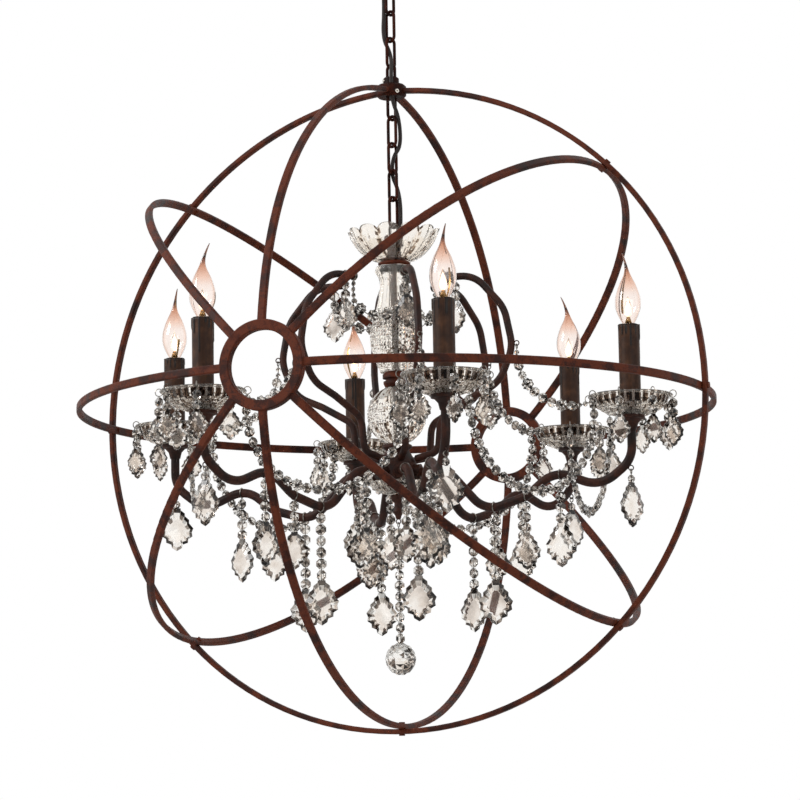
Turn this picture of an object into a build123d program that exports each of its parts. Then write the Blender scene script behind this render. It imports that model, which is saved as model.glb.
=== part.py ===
from build123d import *
import os
from math import asin, atan2, cos, degrees, radians, sin, sqrt

# Orb chandelier: an iron armillary sphere hung on a chain from a ceiling canopy, with a six-candle
# crystal chandelier hung on a second chain inside it. Millimetres. +Z is up, the origin lies on the
# ceiling at the middle of the mounting bracket, and -Y is the orb's front.

os.makedirs("parts", exist_ok=True)

# ---- driving dimensions ----

# Ceiling parts
canopy_diameter = 130.0
canopy_depth = 26.0
canopy_wall = 1.5
canopy_crown_diameter = 60.0
bracket_length = 112.0
bracket_width = 20.0
bracket_thickness = 2.5
bracket_slot_spacing = 88.9
bracket_slot_length = 12.0
bracket_slot_width = 5.0
eye_shank_diameter = 9.6
eye_shank_clearance = 0.3
eye_collar_diameter = 14.0
eye_collar_height = 6.0
eye_ring_radius = 8.0
canopy_screw_diameter = 4.0
canopy_screw_spacing = 66.0
canopy_screw_head_diameter = 8.0
canopy_screw_head_height = 5.0
screw_clearance = 0.2

# Chain
link_wire = 4.0
link_width = 17.5
link_length = 43.3
link_gap = 0.3
upper_links = 3
inner_links = 4
chain_turn = 22.5
link_turn = 45.0

# Power cord
cord_diameter = 5.0
cord_hole_clearance = 0.4

# Orb
orb_diameter = 812.8
bar_width = 10.0
bar_thickness = 6.5
bar_corner = 2.0
crossing_gap = 0.1
weld_gap = 0.05
tilt_angle = 45.0
crown_start = 45.0
hub_height_in_orb = 409.0
ring_diameter = 105.0
ring_bore = 81.0
ring_depth = 11.0
ring_edge = 1.5
rivet_diameter = 4.0
rivet_head_diameter = 7.5
rivet_head_height = 1.8
rivet_clearance = 0.05
rivet_seat_gap = 0.03

# Orb's hub
hub_diameter = 38.0
hub_height = 16.0
hub_chamfer = 2.5
hub_boss_diameter = 20.0
hub_boss_height = 10.0
upper_eye_height = 17.0
lower_eye_drop = 29.0
set_screw_diameter = 5.0
set_screw_length = 5.0
set_screw_proud = 0.8
set_screw_angle = 45.0
boss_screw_angle = -52.0
hex_socket_width = 2.5

# Column of the inner chandelier, from its eye down
stem_eye_height = 14.3
stem_cap_diameter = 24.0
stem_cap_height = 30.0
stem_diameter = 9.0
stem_bore = 6.5
stem_clearance = 0.2
bowl_diameter = 116.0
bowl_height = 40.0
bowl_floor = 4.0
bowl_wall = 3.5
bowl_scallops = 12
bowl_scallop_depth = 7.0
collar_diameter = 41.0
collar_height = 7.0
vase_height = 134.5
vase_wall = 4.0
vase_top_diameter = 49.0
vase_neck_diameter = 38.0
vase_belly_diameter = 65.0
vase_foot_diameter = 40.0
vase_floor = 5.0
middle_collar_diameter = 34.0
middle_collar_height = 19.0
glass_ball_height = 72.0
glass_ball_diameter = 75.0
glass_ball_wall = 4.0
disc_diameter = 37.0
disc_height = 9.0
arm_hub_diameter = 48.0
arm_hub_height = 50.5
arm_hub_foot_diameter = 28.0
arm_socket_diameter = 20.0
arm_socket_reach = 31.0
arm_socket_height = 22.5
dish_diameter = 74.0
dish_height = 16.0
dish_floor = 5.0
dish_wall = 3.5
finial_length = 30.0
finial_diameter = 18.0

# Arms and scrolls
arm_count = 6
first_arm_angle = -56.6
arm_diameter = 11.0
arm_clearance = 0.1
scroll_diameter = 9.0
candle_circle_radius = 303.0

# Candles
arm_end_above_socket = 36.0
cup_diameter = 34.0
cup_height = 18.0
nipple_diameter = 10.0
nipple_clearance = 0.2
pan_diameter = 104.0
pan_height = 25.0
pan_wall = 3.5
pan_floor = 5.0
sleeve_diameter = 26.0
sleeve_wall = 1.2
sleeve_height = 107.0
holder_diameter = 22.5
holder_stem_diameter = 14.0
holder_height = 32.0
holder_wall = 3.5
bulb_base_diameter = 14.0
bulb_base_clearance = 0.4
bulb_base_height = 24.0
bulb_diameter = 32.0
bulb_glass_height = 66.0
bulb_tail_length = 30.0
bulb_tail_lean = 9.0

# Crystals
crystal_gap = 0.3
pin_diameter = 1.2
hook_ring_radius = 3.0
hook_wire = 1.4
bead_diameter = 9.0
bead_pitch = 10.5
small_bead_diameter = 6.5
small_bead_pitch = 7.5
rosette_diameter = 16.0
rosette_thickness = 7.0
pendant_height = 55.0
pendant_thickness = 8.0
small_pendant_height = 32.0
small_pendant_thickness = 6.0
facet_taper = 38.0
outer_drop_beads = 1
inner_strand_beads = 8
middle_strand_beads = 5
ball_strand_beads = 13
crystal_ball_diameter = 39.5
pan_holes = 8
pan_hole_radius = 48.5
pan_hole_diameter = 2.6
pan_ring_radius = 4.5
pan_flange_thickness = 3.0
candle_swag_sag = 120.0
tip_swag_sag = 48.0
scroll_swag_sag = 34.0

# ---- derived places ----

contact_step = link_wire + link_gap
link_pitch = link_length - link_wire - contact_step
bend_radius = (link_width - link_wire) / 2
link_straight = link_length - link_width

up = Vector(0, 0, 1)
view_right = Vector(cos(radians(chain_turn)), sin(radians(chain_turn)), 0)
view_near = Vector(sin(radians(chain_turn)), -cos(radians(chain_turn)), 0)
odd_side = view_right * cos(radians(link_turn)) + view_near * sin(radians(link_turn))
even_side = view_right * cos(radians(link_turn)) - view_near * sin(radians(link_turn))

canopy_eye_z = -canopy_depth - eye_collar_height - eye_ring_radius - link_wire / 2
canopy_hook_z = canopy_eye_z - eye_ring_radius
hub_eye_z = canopy_hook_z + contact_step - upper_links * link_pitch
hub_top_z = hub_eye_z - upper_eye_height - hub_boss_height
hub_z = hub_top_z - hub_height / 2
hub_bottom_z = hub_top_z - hub_height
hub_flat = sqrt((hub_diameter / 2)**2 - (bar_width / 2)**2)
orb_z = hub_z - hub_height_in_orb
orb_centre = Vector(0, 0, orb_z)
inner_hook_z = hub_bottom_z - lower_eye_drop
column_eye_z = inner_hook_z + contact_step - inner_links * link_pitch

outer_radius = orb_diameter / 2 - bar_thickness / 2
inner_radius = outer_radius - bar_thickness - crossing_gap
ring_radius = ring_diameter / 2
ring_seat_y = sqrt(inner_radius**2 - ring_radius**2)
ring_seat_angle = degrees(asin(ring_radius / inner_radius))

stem_top_z = column_eye_z - stem_eye_height
bowl_floor_z = stem_top_z - stem_cap_height
collar_top_z = bowl_floor_z - bowl_floor
vase_top_z = collar_top_z - collar_height
middle_collar_z = vase_top_z - vase_height
ball_top_z = middle_collar_z - middle_collar_height
ball_z = ball_top_z - glass_ball_height / 2
disc_top_z = ball_top_z - glass_ball_height
arm_hub_top_z = disc_top_z - disc_height
arm_hub_bottom_z = arm_hub_top_z - arm_hub_height
arm_z = arm_hub_bottom_z + arm_socket_height
dish_bottom_z = arm_hub_bottom_z - dish_floor
finial_bottom_z = dish_bottom_z - finial_length
stem_bottom_z = dish_bottom_z - 8

arm_end_z = arm_z + arm_end_above_socket
cup_top_z = arm_end_z + cup_height
pan_rim_z = cup_top_z + pan_height
sleeve_bottom_z = cup_top_z + pan_floor
sleeve_top_z = sleeve_bottom_z + sleeve_height
holder_top_z = sleeve_top_z - 1
holder_bottom_z = holder_top_z - holder_height
bulb_base_z = holder_top_z + 2 - bulb_base_height


# ---- shared shapes ----


def save(builder, name):
    """Labels a finished piece and writes it."""
    builder.part.label = name
    export_step(builder.part, "parts/" + name + ".step")


def turn(points, x=0.0, y=0.0, mode=Mode.ADD):
    """A turned form about a vertical axis: points are (radius, height) round its half section."""
    with BuildSketch(Plane(origin=(x, y, 0), x_dir=(1, 0, 0), z_dir=(0, -1, 0))) as half:
        with BuildLine():
            Polyline(*points, close=True)
        make_face()
    revolve(half.sketch, axis=Axis((x, y, 0), (0, 0, 1)), mode=mode)


def rod(start, direction, diameter, length, mode=Mode.ADD):
    """A round rod from a point, along a direction."""
    with BuildSketch(Plane(origin=start, z_dir=direction)) as circle:
        Circle(diameter / 2)
    extrude(circle.sketch, amount=length, mode=mode)


def wire_bend(centre, side, radius, wire, turned_by=180.0, over=up):
    """Round wire bent about a centre, from the given side and over the other direction."""
    with BuildSketch(Plane(origin=centre + side * radius, x_dir=side, z_dir=over)) as circle:
        Circle(wire / 2)
    revolve(circle.sketch, axis=Axis(centre, side.cross(over)), revolution_arc=turned_by)


def wire_legs(centre, side, length):
    """The two straight sides of a link or an eye, from a bend's centre downwards."""
    for sign in (1, -1):
        rod(centre + side * (sign * bend_radius), -up, link_wire, length)


def make_link(top_z, side):
    """An oval link, placed by the centre line of its top bend."""
    with BuildPart() as link:
        top_centre = Vector(0, 0, top_z - bend_radius)
        bottom_centre = top_centre - up * link_straight
        wire_bend(top_centre, side, bend_radius, link_wire)
        wire_bend(bottom_centre, side, bend_radius, link_wire, 180.0, -up)
        wire_legs(top_centre, side, link_straight)
    return link


def bar_arc(frame, centre, radius, start, end):
    """One arc of flat bar in a hoop's plane, its angles counted from the plane's x direction."""
    radial = frame.x_dir * cos(radians(start)) + frame.y_dir * sin(radians(start))
    tangent = frame.y_dir * cos(radians(start)) - frame.x_dir * sin(radians(start))
    with BuildSketch(Plane(origin=centre + radial * radius, x_dir=radial, z_dir=tangent)) as bar:
        RectangleRounded(bar_thickness, bar_width, bar_corner)
    revolve(bar.sketch, axis=Axis(centre, frame.z_dir), revolution_arc=end - start)


def crown(radius):
    """The arc on which a hoop leaves its circle to reach the hub, a little above the circle:
    its distance behind the orb's centre, and the angle at which it ends over the hub."""
    c = cos(radians(crown_start))
    s = sin(radians(crown_start))
    top = hub_height_in_orb
    shift = (top**2 - radius**2) / (2 * (radius - top * s))
    return shift, degrees(atan2(top + shift * s, shift * c))


def bar_along(frame, arcs):
    """Flat bar along tangent arcs in a hoop's plane: (centre x, centre y, radius, start, turn)."""
    with BuildLine(frame) as line:
        for x, y, radius, start, turn_angle in arcs:
            CenterArc((x, y), radius, start, turn_angle)
    route = line.wire()
    tangent = route % 0
    side = frame.z_dir.cross(tangent)
    with BuildSketch(Plane(origin=route @ 0, x_dir=side, z_dir=tangent)) as bar:
        RectangleRounded(bar_thickness, bar_width, bar_corner)
    sweep(sections=bar.sketch, path=route)


def trim_at_rings():
    """Cuts the bars where they meet the outside of the two polar rings."""
    rod(orb_centre - Vector(0, orb_diameter, 0), (0, 1, 0), ring_diameter + 2 * weld_gap,
        2 * orb_diameter, Mode.SUBTRACT)


def trim_at_hub():
    """Cuts the bars square where they meet the flats on the hub's side."""
    with Locations((0, 0, hub_z)):
        Box(2 * (hub_flat + weld_gap), 2 * (hub_flat + weld_gap), hub_height + 2 * bar_width,
            mode=Mode.SUBTRACT)


def rivet_holes(angles):
    """Drills the bars where the rivets pass, at angles from +X towards +Z."""
    for angle in angles:
        out = Vector(cos(radians(angle)), 0, sin(radians(angle)))
        rod(orb_centre + out * (inner_radius - bar_thickness), out,
            rivet_diameter + 2 * rivet_clearance, 3 * bar_thickness, Mode.SUBTRACT)


def half_bar_frame(angle):
    """The plane of a half hoop that runs from the front ring by the given side to the back ring."""
    return Plane(origin=orb_centre, x_dir=(0, -1, 0),
                 z_dir=(-sin(radians(angle)), 0, cos(radians(angle))))


def make_half_bar(angle):
    """A half hoop from ring to ring, drilled for the rivet that holds it to the cross hoop."""
    with BuildPart() as bar:
        bar_arc(half_bar_frame(angle), orb_centre, inner_radius, ring_seat_angle - 2,
                182 - ring_seat_angle)
        trim_at_rings()
        rivet_holes([angle])
    return bar


def arm_places(radius=0.0):
    """Locations of the six arms; each one's x direction points outwards."""
    return PolarLocations(radius, arm_count, start_angle=first_arm_angle)


def arm_direction(index):
    """The horizontal direction of an arm, counted from the first."""
    angle = radians(first_arm_angle + index * 360 / arm_count)
    return Vector(cos(angle), sin(angle), 0)


# ---- ceiling parts ----

canopy_radius = canopy_diameter / 2
crown_radius = canopy_crown_diameter / 2
with BuildPart() as ceiling_canopy:
    turn([(crown_radius, -canopy_depth), (canopy_radius - 6, -8), (canopy_radius, -3),
          (canopy_radius, 0), (canopy_radius - canopy_wall, 0), (canopy_radius - canopy_wall, -3),
          (canopy_radius - 6 - canopy_wall, -8 + canopy_wall / 2),
          (crown_radius, -canopy_depth + canopy_wall), (0, -canopy_depth + canopy_wall),
          (0, -canopy_depth)])
    rod(Vector(0, 0, -canopy_depth), up, eye_shank_diameter + 2 * eye_shank_clearance,
        canopy_wall, Mode.SUBTRACT)
    for sign in (1, -1):
        rod(Vector(sign * canopy_screw_spacing / 2, 0, -canopy_depth - 1), up,
            canopy_screw_diameter + 2 * screw_clearance, canopy_depth, Mode.SUBTRACT)
    cord_exit = -view_right * 16.0
    rod(cord_exit - up * (canopy_depth + 1), up, cord_diameter + 2 * cord_hole_clearance,
        canopy_wall + 2, Mode.SUBTRACT)
save(ceiling_canopy, "ceiling_canopy")

with BuildPart() as mounting_bracket:
    with BuildSketch(Plane.XY.offset(-bracket_thickness)):
        RectangleRounded(bracket_length, bracket_width, 4)
        Circle(eye_shank_diameter / 2 + eye_shank_clearance, mode=Mode.SUBTRACT)
        with GridLocations(bracket_slot_spacing, 0, 2, 1):
            SlotOverall(bracket_slot_length, bracket_slot_width, mode=Mode.SUBTRACT)
        with GridLocations(canopy_screw_spacing, 0, 2, 1):
            Circle(canopy_screw_diameter / 2 + screw_clearance, mode=Mode.SUBTRACT)
    extrude(amount=bracket_thickness)
save(mounting_bracket, "mounting_bracket")

with BuildPart() as canopy_loop:
    rod(Vector(0, 0, -canopy_depth), up, eye_shank_diameter, canopy_depth)
    rod(Vector(0, 0, -canopy_depth), -up, eye_collar_diameter, eye_collar_height)
    rod(Vector(0, 0, -canopy_depth + canopy_wall), up, eye_shank_diameter + 6, 5)
    wire_bend(Vector(0, 0, canopy_eye_z), odd_side, eye_ring_radius, link_wire, 360.0)
save(canopy_loop, "canopy_loop")

with BuildPart() as canopy_screws:
    for sign in (1, -1):
        head = Vector(sign * canopy_screw_spacing / 2, 0, 0)
        dome_z = -canopy_depth + (canopy_screw_spacing / 2 - crown_radius) * (
            (canopy_depth - 8) / (canopy_radius - 6 - crown_radius))
        rod(head + up * (dome_z - 2.7), -up, canopy_screw_head_diameter, canopy_screw_head_height)
        rod(head + up * (dome_z - 2.7), up, canopy_screw_diameter, -dome_z + 2.7)
save(canopy_screws, "canopy_screws")

# ---- chains: each link hangs in the one above, turned a quarter about the vertical ----

for index in range(upper_links):
    side = even_side if index % 2 == 0 else odd_side
    upper_link = make_link(canopy_hook_z + contact_step - index * link_pitch, side)
    save(upper_link, "upper_link_" + str(index + 1))

for index in range(inner_links):
    side = odd_side if index % 2 == 0 else even_side
    inner_link = make_link(inner_hook_z + contact_step - index * link_pitch, side)
    save(inner_link, "inner_link_" + str(index + 1))

# ---- orb: hub and its eyes ----

cord_hub_spot = view_near * 11.0
hub_radius = hub_diameter / 2
boss_radius = hub_boss_diameter / 2
set_screw_out = Vector(sin(radians(set_screw_angle)), -cos(radians(set_screw_angle)), 0)
boss_screw_out = Vector(sin(radians(boss_screw_angle)), -cos(radians(boss_screw_angle)), 0)
set_screw_start = set_screw_out * (hub_radius + set_screw_proud) + up * (hub_z - 3.5)
boss_screw_start = boss_screw_out * (boss_radius + set_screw_proud) + up * (hub_top_z + 5.5)
with BuildPart() as top_hub:
    turn([(0, hub_bottom_z), (hub_radius - hub_chamfer, hub_bottom_z),
          (hub_radius, hub_bottom_z + hub_chamfer), (hub_radius, hub_top_z - hub_chamfer),
          (hub_radius - hub_chamfer, hub_top_z), (boss_radius + 1.5, hub_top_z),
          (boss_radius, hub_top_z + 2), (boss_radius, hub_top_z + hub_boss_height - 1.5),
          (boss_radius - 1.5, hub_top_z + hub_boss_height), (0, hub_top_z + hub_boss_height)])
    with Locations((0, 0, hub_z)):
        Box(2 * hub_flat, 2 * hub_flat, 2 * (hub_height + hub_boss_height), mode=Mode.INTERSECT)
    rod(cord_hub_spot + up * (hub_bottom_z - 1), up, cord_diameter + 2 * cord_hole_clearance,
        hub_height + hub_boss_height + 2, Mode.SUBTRACT)
    for start, out in ((set_screw_start, set_screw_out), (boss_screw_start, boss_screw_out)):
        rod(start, -out, set_screw_diameter + 2 * rivet_clearance,
            set_screw_length + rivet_clearance, Mode.SUBTRACT)
save(top_hub, "top_hub")

with BuildPart() as hub_screws:
    for start, out in ((set_screw_start, set_screw_out), (boss_screw_start, boss_screw_out)):
        rod(start, -out, set_screw_diameter, set_screw_length)
        with BuildSketch(Plane(origin=start, z_dir=-out)) as socket:
            RegularPolygon(hex_socket_width / 2, 6)
        extrude(socket.sketch, amount=3, mode=Mode.SUBTRACT)
save(hub_screws, "hub_screws")

with BuildPart() as hub_eyes:
    upper_eye_centre = Vector(0, 0, hub_eye_z - bend_radius)
    wire_bend(upper_eye_centre, odd_side, bend_radius, link_wire)
    wire_legs(upper_eye_centre, odd_side, upper_eye_height - bend_radius)
    lower_eye_centre = Vector(0, 0, inner_hook_z + bend_radius)
    wire_bend(lower_eye_centre, even_side, bend_radius, link_wire, 180.0, -up)
    wire_legs(Vector(0, 0, hub_bottom_z), even_side, lower_eye_drop - bend_radius)
save(hub_eyes, "hub_eyes")

# ---- orb: rings, hoops and rivets ----

for name, sign in (("ring_front", -1), ("ring_back", 1)):
    with BuildPart() as polar_ring:
        ring_centre = orb_centre + Vector(0, sign * ring_seat_y, 0)
        ring_middle = (ring_diameter + ring_bore) / 4
        with BuildSketch(Plane(origin=ring_centre, x_dir=(1, 0, 0), z_dir=(0, 0, 1))):
            with Locations((ring_middle, 0)):
                RectangleRounded((ring_diameter - ring_bore) / 2, ring_depth, ring_edge)
        revolve(axis=Axis(ring_centre, (0, 1, 0)))
    save(polar_ring, name)

right_frame = Plane(origin=orb_centre, x_dir=(1, 0, 0), z_dir=(0, -1, 0))
front_frame = Plane(origin=orb_centre, x_dir=(0, -1, 0), z_dir=(-1, 0, 0))
back_frame = Plane(origin=orb_centre, x_dir=(0, 1, 0), z_dir=(1, 0, 0))
rivet_angles = [0, tilt_angle, 180 - tilt_angle, 180, 180 + tilt_angle, 270, 360 - tilt_angle]

with BuildPart() as cross_hoop:
    shift, crown_end = crown(outer_radius)
    crown_x = shift * cos(radians(crown_start))
    crown_y = shift * sin(radians(crown_start))
    bar_along(right_frame, [
        (crown_x, -crown_y, outer_radius + shift, 180 - crown_end, crown_end - crown_start),
        (0, 0, outer_radius, 180 - crown_start, 180 + 2 * crown_start),
        (-crown_x, -crown_y, outer_radius + shift, crown_start, crown_end - crown_start)])
    trim_at_hub()
    rivet_holes(rivet_angles)
save(cross_hoop, "cross_hoop")

with BuildPart() as upright_bars_upper:
    shift, crown_end = crown(inner_radius)
    crown_x = shift * cos(radians(crown_start))
    crown_y = shift * sin(radians(crown_start))
    foot = ring_seat_angle - 2
    for frame in (front_frame, back_frame):
        bar_along(frame, [
            (0, 0, inner_radius, foot, crown_start - foot),
            (-crown_x, -crown_y, inner_radius + shift, crown_start, crown_end - crown_start)])
    trim_at_rings()
    trim_at_hub()
save(upright_bars_upper, "upright_bars_upper")

save(make_half_bar(270), "upright_bar_lower")
save(make_half_bar(tilt_angle), "tilt_bar_a_upper")
save(make_half_bar(180 + tilt_angle), "tilt_bar_a_lower")
save(make_half_bar(180 - tilt_angle), "tilt_bar_b_upper")
save(make_half_bar(360 - tilt_angle), "tilt_bar_b_lower")

with BuildPart() as level_bars:
    for angle in (0, 180):
        bar_arc(half_bar_frame(angle), orb_centre, inner_radius, ring_seat_angle - 2,
                182 - ring_seat_angle)
    trim_at_rings()
    rivet_holes([0, 180])
save(level_bars, "level_bars")

with BuildPart() as crossing_rivets:
    grip_start = inner_radius - bar_thickness / 2
    grip = outer_radius + bar_thickness / 2 - grip_start
    for angle in rivet_angles:
        out = Vector(cos(radians(angle)), 0, sin(radians(angle)))
        head_base = orb_centre + out * (grip_start + grip + rivet_seat_gap)
        tail_base = orb_centre + out * (grip_start - rivet_seat_gap)
        rod(tail_base, out, rivet_diameter, grip + 2 * rivet_seat_gap)
        rod(head_base, out, rivet_head_diameter, rivet_head_height)
        rod(tail_base, -out, rivet_head_diameter, rivet_head_height)
save(crossing_rivets, "crossing_rivets")

# ---- inner chandelier: stem and the pieces threaded on it ----

stem_hole = stem_diameter / 2 + stem_clearance
cap_radius = stem_cap_diameter / 2
cord_cap_spot = view_right * 8.2

with BuildPart() as stem_eye:
    column_eye_centre = Vector(0, 0, column_eye_z - bend_radius)
    wire_bend(column_eye_centre, odd_side, bend_radius, link_wire)
    wire_legs(column_eye_centre, odd_side, stem_eye_height - bend_radius)
    turn([(0, stem_top_z), (cap_radius - 2, stem_top_z), (cap_radius, stem_top_z - 2),
          (cap_radius, stem_top_z - 14), (cap_radius - 3, stem_top_z - 18),
          (cap_radius - 3, bowl_floor_z + 3), (cap_radius + 2, bowl_floor_z),
          (stem_hole, bowl_floor_z), (stem_hole, stem_top_z - 18), (0, stem_top_z - 18)])
    rod(cord_cap_spot + up * (stem_top_z + 1), -up, cord_diameter + 2 * cord_hole_clearance,
        13, Mode.SUBTRACT)
save(stem_eye, "stem_eye")

with BuildPart() as stem_tube:
    turn([(stem_bore / 2, stem_bottom_z), (stem_diameter / 2, stem_bottom_z),
          (stem_diameter / 2, stem_top_z - 18 - crystal_gap),
          (stem_bore / 2, stem_top_z - 18 - crystal_gap)])
save(stem_tube, "stem_tube")

bowl_radius = bowl_diameter / 2
with BuildPart() as top_bowl:
    turn([(stem_hole, collar_top_z), (20, collar_top_z), (36, collar_top_z + 7),
          (50, collar_top_z + 22), (bowl_radius, collar_top_z + bowl_height),
          (bowl_radius - bowl_wall, collar_top_z + bowl_height),
          (50 - bowl_wall, collar_top_z + 23), (36 - bowl_wall / 2, collar_top_z + 11),
          (20, bowl_floor_z), (stem_hole, bowl_floor_z)])
    for index in range(bowl_scallops):
        angle = radians((index + 0.5) * 360 / bowl_scallops)
        out = Vector(cos(angle), sin(angle), 0)
        rod(out * (bowl_radius - 20) + up * (collar_top_z + bowl_height + 2), out,
            2 * bowl_scallop_depth, 30, Mode.SUBTRACT)
save(top_bowl, "top_bowl")

collar_radius = collar_diameter / 2
with BuildPart() as top_collar:
    turn([(stem_hole, vase_top_z), (collar_radius - 3, vase_top_z),
          (collar_radius, vase_top_z + 3), (collar_radius, collar_top_z - 2),
          (collar_radius - 4, collar_top_z), (stem_hole, collar_top_z)])
save(top_collar, "top_collar")

vase_profile = [(vase_foot_diameter / 2, 0), (vase_foot_diameter / 2 + 2, 5),
                (vase_belly_diameter / 2 - 4, 20), (vase_belly_diameter / 2, 42),
                (vase_belly_diameter / 2 - 3, 62), (vase_neck_diameter / 2 + 4, 86),
                (vase_neck_diameter / 2, 108), (vase_neck_diameter / 2 + 1, 120),
                (vase_top_diameter / 2, vase_height - 6), (vase_top_diameter / 2 - 1, vase_height)]
with BuildPart() as column_vase:
    turn([(stem_hole, middle_collar_z)]
         + [(r, middle_collar_z + h) for r, h in vase_profile]
         + [(stem_hole, vase_top_z)])
    turn([(stem_hole + 2, middle_collar_z + vase_floor)]
         + [(r - vase_wall, middle_collar_z + h) for r, h in vase_profile[1:-2]]
         + [(vase_top_diameter / 2 - vase_wall, vase_top_z - 6 - vase_wall / 2),
            (stem_hole + 2, vase_top_z - vase_floor)], mode=Mode.SUBTRACT)
save(column_vase, "column_vase")

middle_radius = middle_collar_diameter / 2
with BuildPart() as middle_collar:
    turn([(stem_hole, ball_top_z), (middle_radius - 3, ball_top_z),
          (middle_radius - 1, ball_top_z + 4), (middle_radius - 1, ball_top_z + 7),
          (middle_radius - 4, ball_top_z + 8), (middle_radius - 4, ball_top_z + 10),
          (middle_radius, ball_top_z + 11), (middle_radius, ball_top_z + 16),
          (middle_radius - 3, middle_collar_z), (stem_hole, middle_collar_z)])
save(middle_collar, "middle_collar")

ball_radius = glass_ball_diameter / 2
with BuildPart() as glass_ball:
    half_height = glass_ball_height / 2
    seat_radius = sqrt(ball_radius**2 - half_height**2)
    inner_ball_radius = ball_radius - glass_ball_wall
    with BuildSketch(Plane(origin=(0, 0, ball_z), x_dir=(1, 0, 0), z_dir=(0, -1, 0))):
        with BuildLine():
            ball_side = ThreePointArc((seat_radius, -half_height), (ball_radius, 0),
                                      (seat_radius, half_height))
            Polyline(ball_side @ 1, (stem_hole, half_height), (stem_hole, -half_height),
                     ball_side @ 0)
        make_face()
        with BuildLine():
            cavity_edge = sqrt(inner_ball_radius**2 - (stem_hole + 2)**2)
            cavity_side = ThreePointArc((stem_hole + 2, -cavity_edge), (inner_ball_radius, 0),
                                        (stem_hole + 2, cavity_edge))
            Line(cavity_side @ 1, cavity_side @ 0)
        make_face(mode=Mode.SUBTRACT)
    revolve(axis=Axis.Z)
save(glass_ball, "glass_ball")

disc_radius = disc_diameter / 2
with BuildPart() as ball_disc:
    turn([(stem_hole, arm_hub_top_z), (disc_radius - 5, arm_hub_top_z),
          (disc_radius, arm_hub_top_z + 4), (disc_radius, arm_hub_top_z + 7),
          (disc_radius - 4, disc_top_z), (stem_hole, disc_top_z)])
save(ball_disc, "ball_disc")

arm_hub_radius = arm_hub_diameter / 2
foot_radius = arm_hub_foot_diameter / 2
arm_seat_radius = arm_hub_radius - 6
scroll_seat_z = arm_z + 17
scroll_seat_radius = arm_hub_radius + scroll_diameter / 2
with BuildPart() as arm_hub:
    turn([(stem_hole, arm_hub_bottom_z), (foot_radius, arm_hub_bottom_z),
          (foot_radius + 2, arm_hub_bottom_z + 6), (arm_hub_radius, arm_hub_bottom_z + 12),
          (arm_hub_radius, arm_z + 12), (arm_hub_radius - 6, arm_hub_top_z - 5),
          (arm_hub_radius - 9, arm_hub_top_z), (stem_hole, arm_hub_top_z)])
    for index in range(arm_count):
        out = arm_direction(index)
        rod(out * (arm_hub_radius - 5) + up * arm_z, out, arm_socket_diameter,
            arm_socket_reach - arm_hub_radius + 5)
    for index in range(arm_count):
        out = arm_direction(index)
        rod(out * arm_seat_radius + up * arm_z, out, arm_diameter + 2 * arm_clearance,
            arm_socket_reach, Mode.SUBTRACT)
save(arm_hub, "arm_hub")

dish_radius = dish_diameter / 2
with BuildPart() as bottom_dish:
    turn([(stem_hole, dish_bottom_z), (foot_radius - 2, dish_bottom_z),
          (foot_radius + 10, dish_bottom_z + 4), (dish_radius, dish_bottom_z + dish_height),
          (dish_radius - dish_wall, dish_bottom_z + dish_height),
          (foot_radius + 9, dish_bottom_z + 4 + dish_wall), (foot_radius + 1, arm_hub_bottom_z),
          (stem_hole, arm_hub_bottom_z)])
save(bottom_dish, "bottom_dish")

finial_radius = finial_diameter / 2
with BuildPart() as bottom_finial:
    turn([(0, finial_bottom_z), (3, finial_bottom_z), (4, finial_bottom_z + 4),
          (7, finial_bottom_z + 9), (5, finial_bottom_z + 14), (5, finial_bottom_z + 20),
          (finial_radius, dish_bottom_z - 5), (finial_radius, dish_bottom_z),
          (stem_hole, dish_bottom_z), (stem_hole, stem_bottom_z - crystal_gap),
          (0, stem_bottom_z - crystal_gap)])
    finial_ring_z = finial_bottom_z - hook_ring_radius
    wire_bend(Vector(0, 0, finial_ring_z), Vector(1, 0, 0), hook_ring_radius, hook_wire, 360.0)
save(bottom_finial, "bottom_finial")

# ---- arms and scrolls ----

# Round iron rod, bent in a vertical plane: (distance from the column, height above the socket).
arm_route = [(arm_seat_radius, 0), (66, 0), (114, -54), (168, -38), (205, -8), (262, -32),
             (candle_circle_radius, 0), (candle_circle_radius, arm_end_above_socket)]
arm_bends = [30, 34, 38, 36, 40, 34]
with BuildPart() as arm_pattern:
    with BuildLine(Plane.XZ) as arm_line:
        FilletPolyline(*[(x, arm_z + z) for x, z in arm_route], radius=arm_bends)
    with BuildSketch(Plane(origin=arm_line.line @ 0, z_dir=arm_line.line % 0)):
        Circle(arm_diameter / 2)
    sweep()
    arm_points = [arm_line.line @ (step / 400) for step in range(401)]
    arm_dip = min(arm_points, key=lambda point: point.Z)
    arm_crest = max([p for p in arm_points if 180 < p.X < 240], key=lambda point: point.Z)
    end_bend = arm_bends[-1]
    hook_lean = radians(40)
    run_x = candle_circle_radius - arm_route[-3][0]
    run_z = arm_route[-2][1] - arm_route[-3][1]
    end_turn = radians(90) - atan2(run_z, run_x)
    bend_centre_x = candle_circle_radius - end_bend
    bend_centre_z = arm_z + end_bend * sin(end_turn / 2) / cos(end_turn / 2)
    hook_reach = end_bend + arm_diameter / 2 + hook_ring_radius - 0.5
    arm_hook_x = bend_centre_x + hook_reach * cos(hook_lean)
    arm_hook_z = bend_centre_z - hook_reach * sin(hook_lean)
    wire_bend(Vector(arm_hook_x, 0, arm_hook_z), Vector(1, 0, 0), hook_ring_radius, hook_wire, 360.0)
with BuildPart() as scroll_arms:
    with arm_places():
        add(arm_pattern.part)
save(scroll_arms, "scroll_arms")

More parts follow.
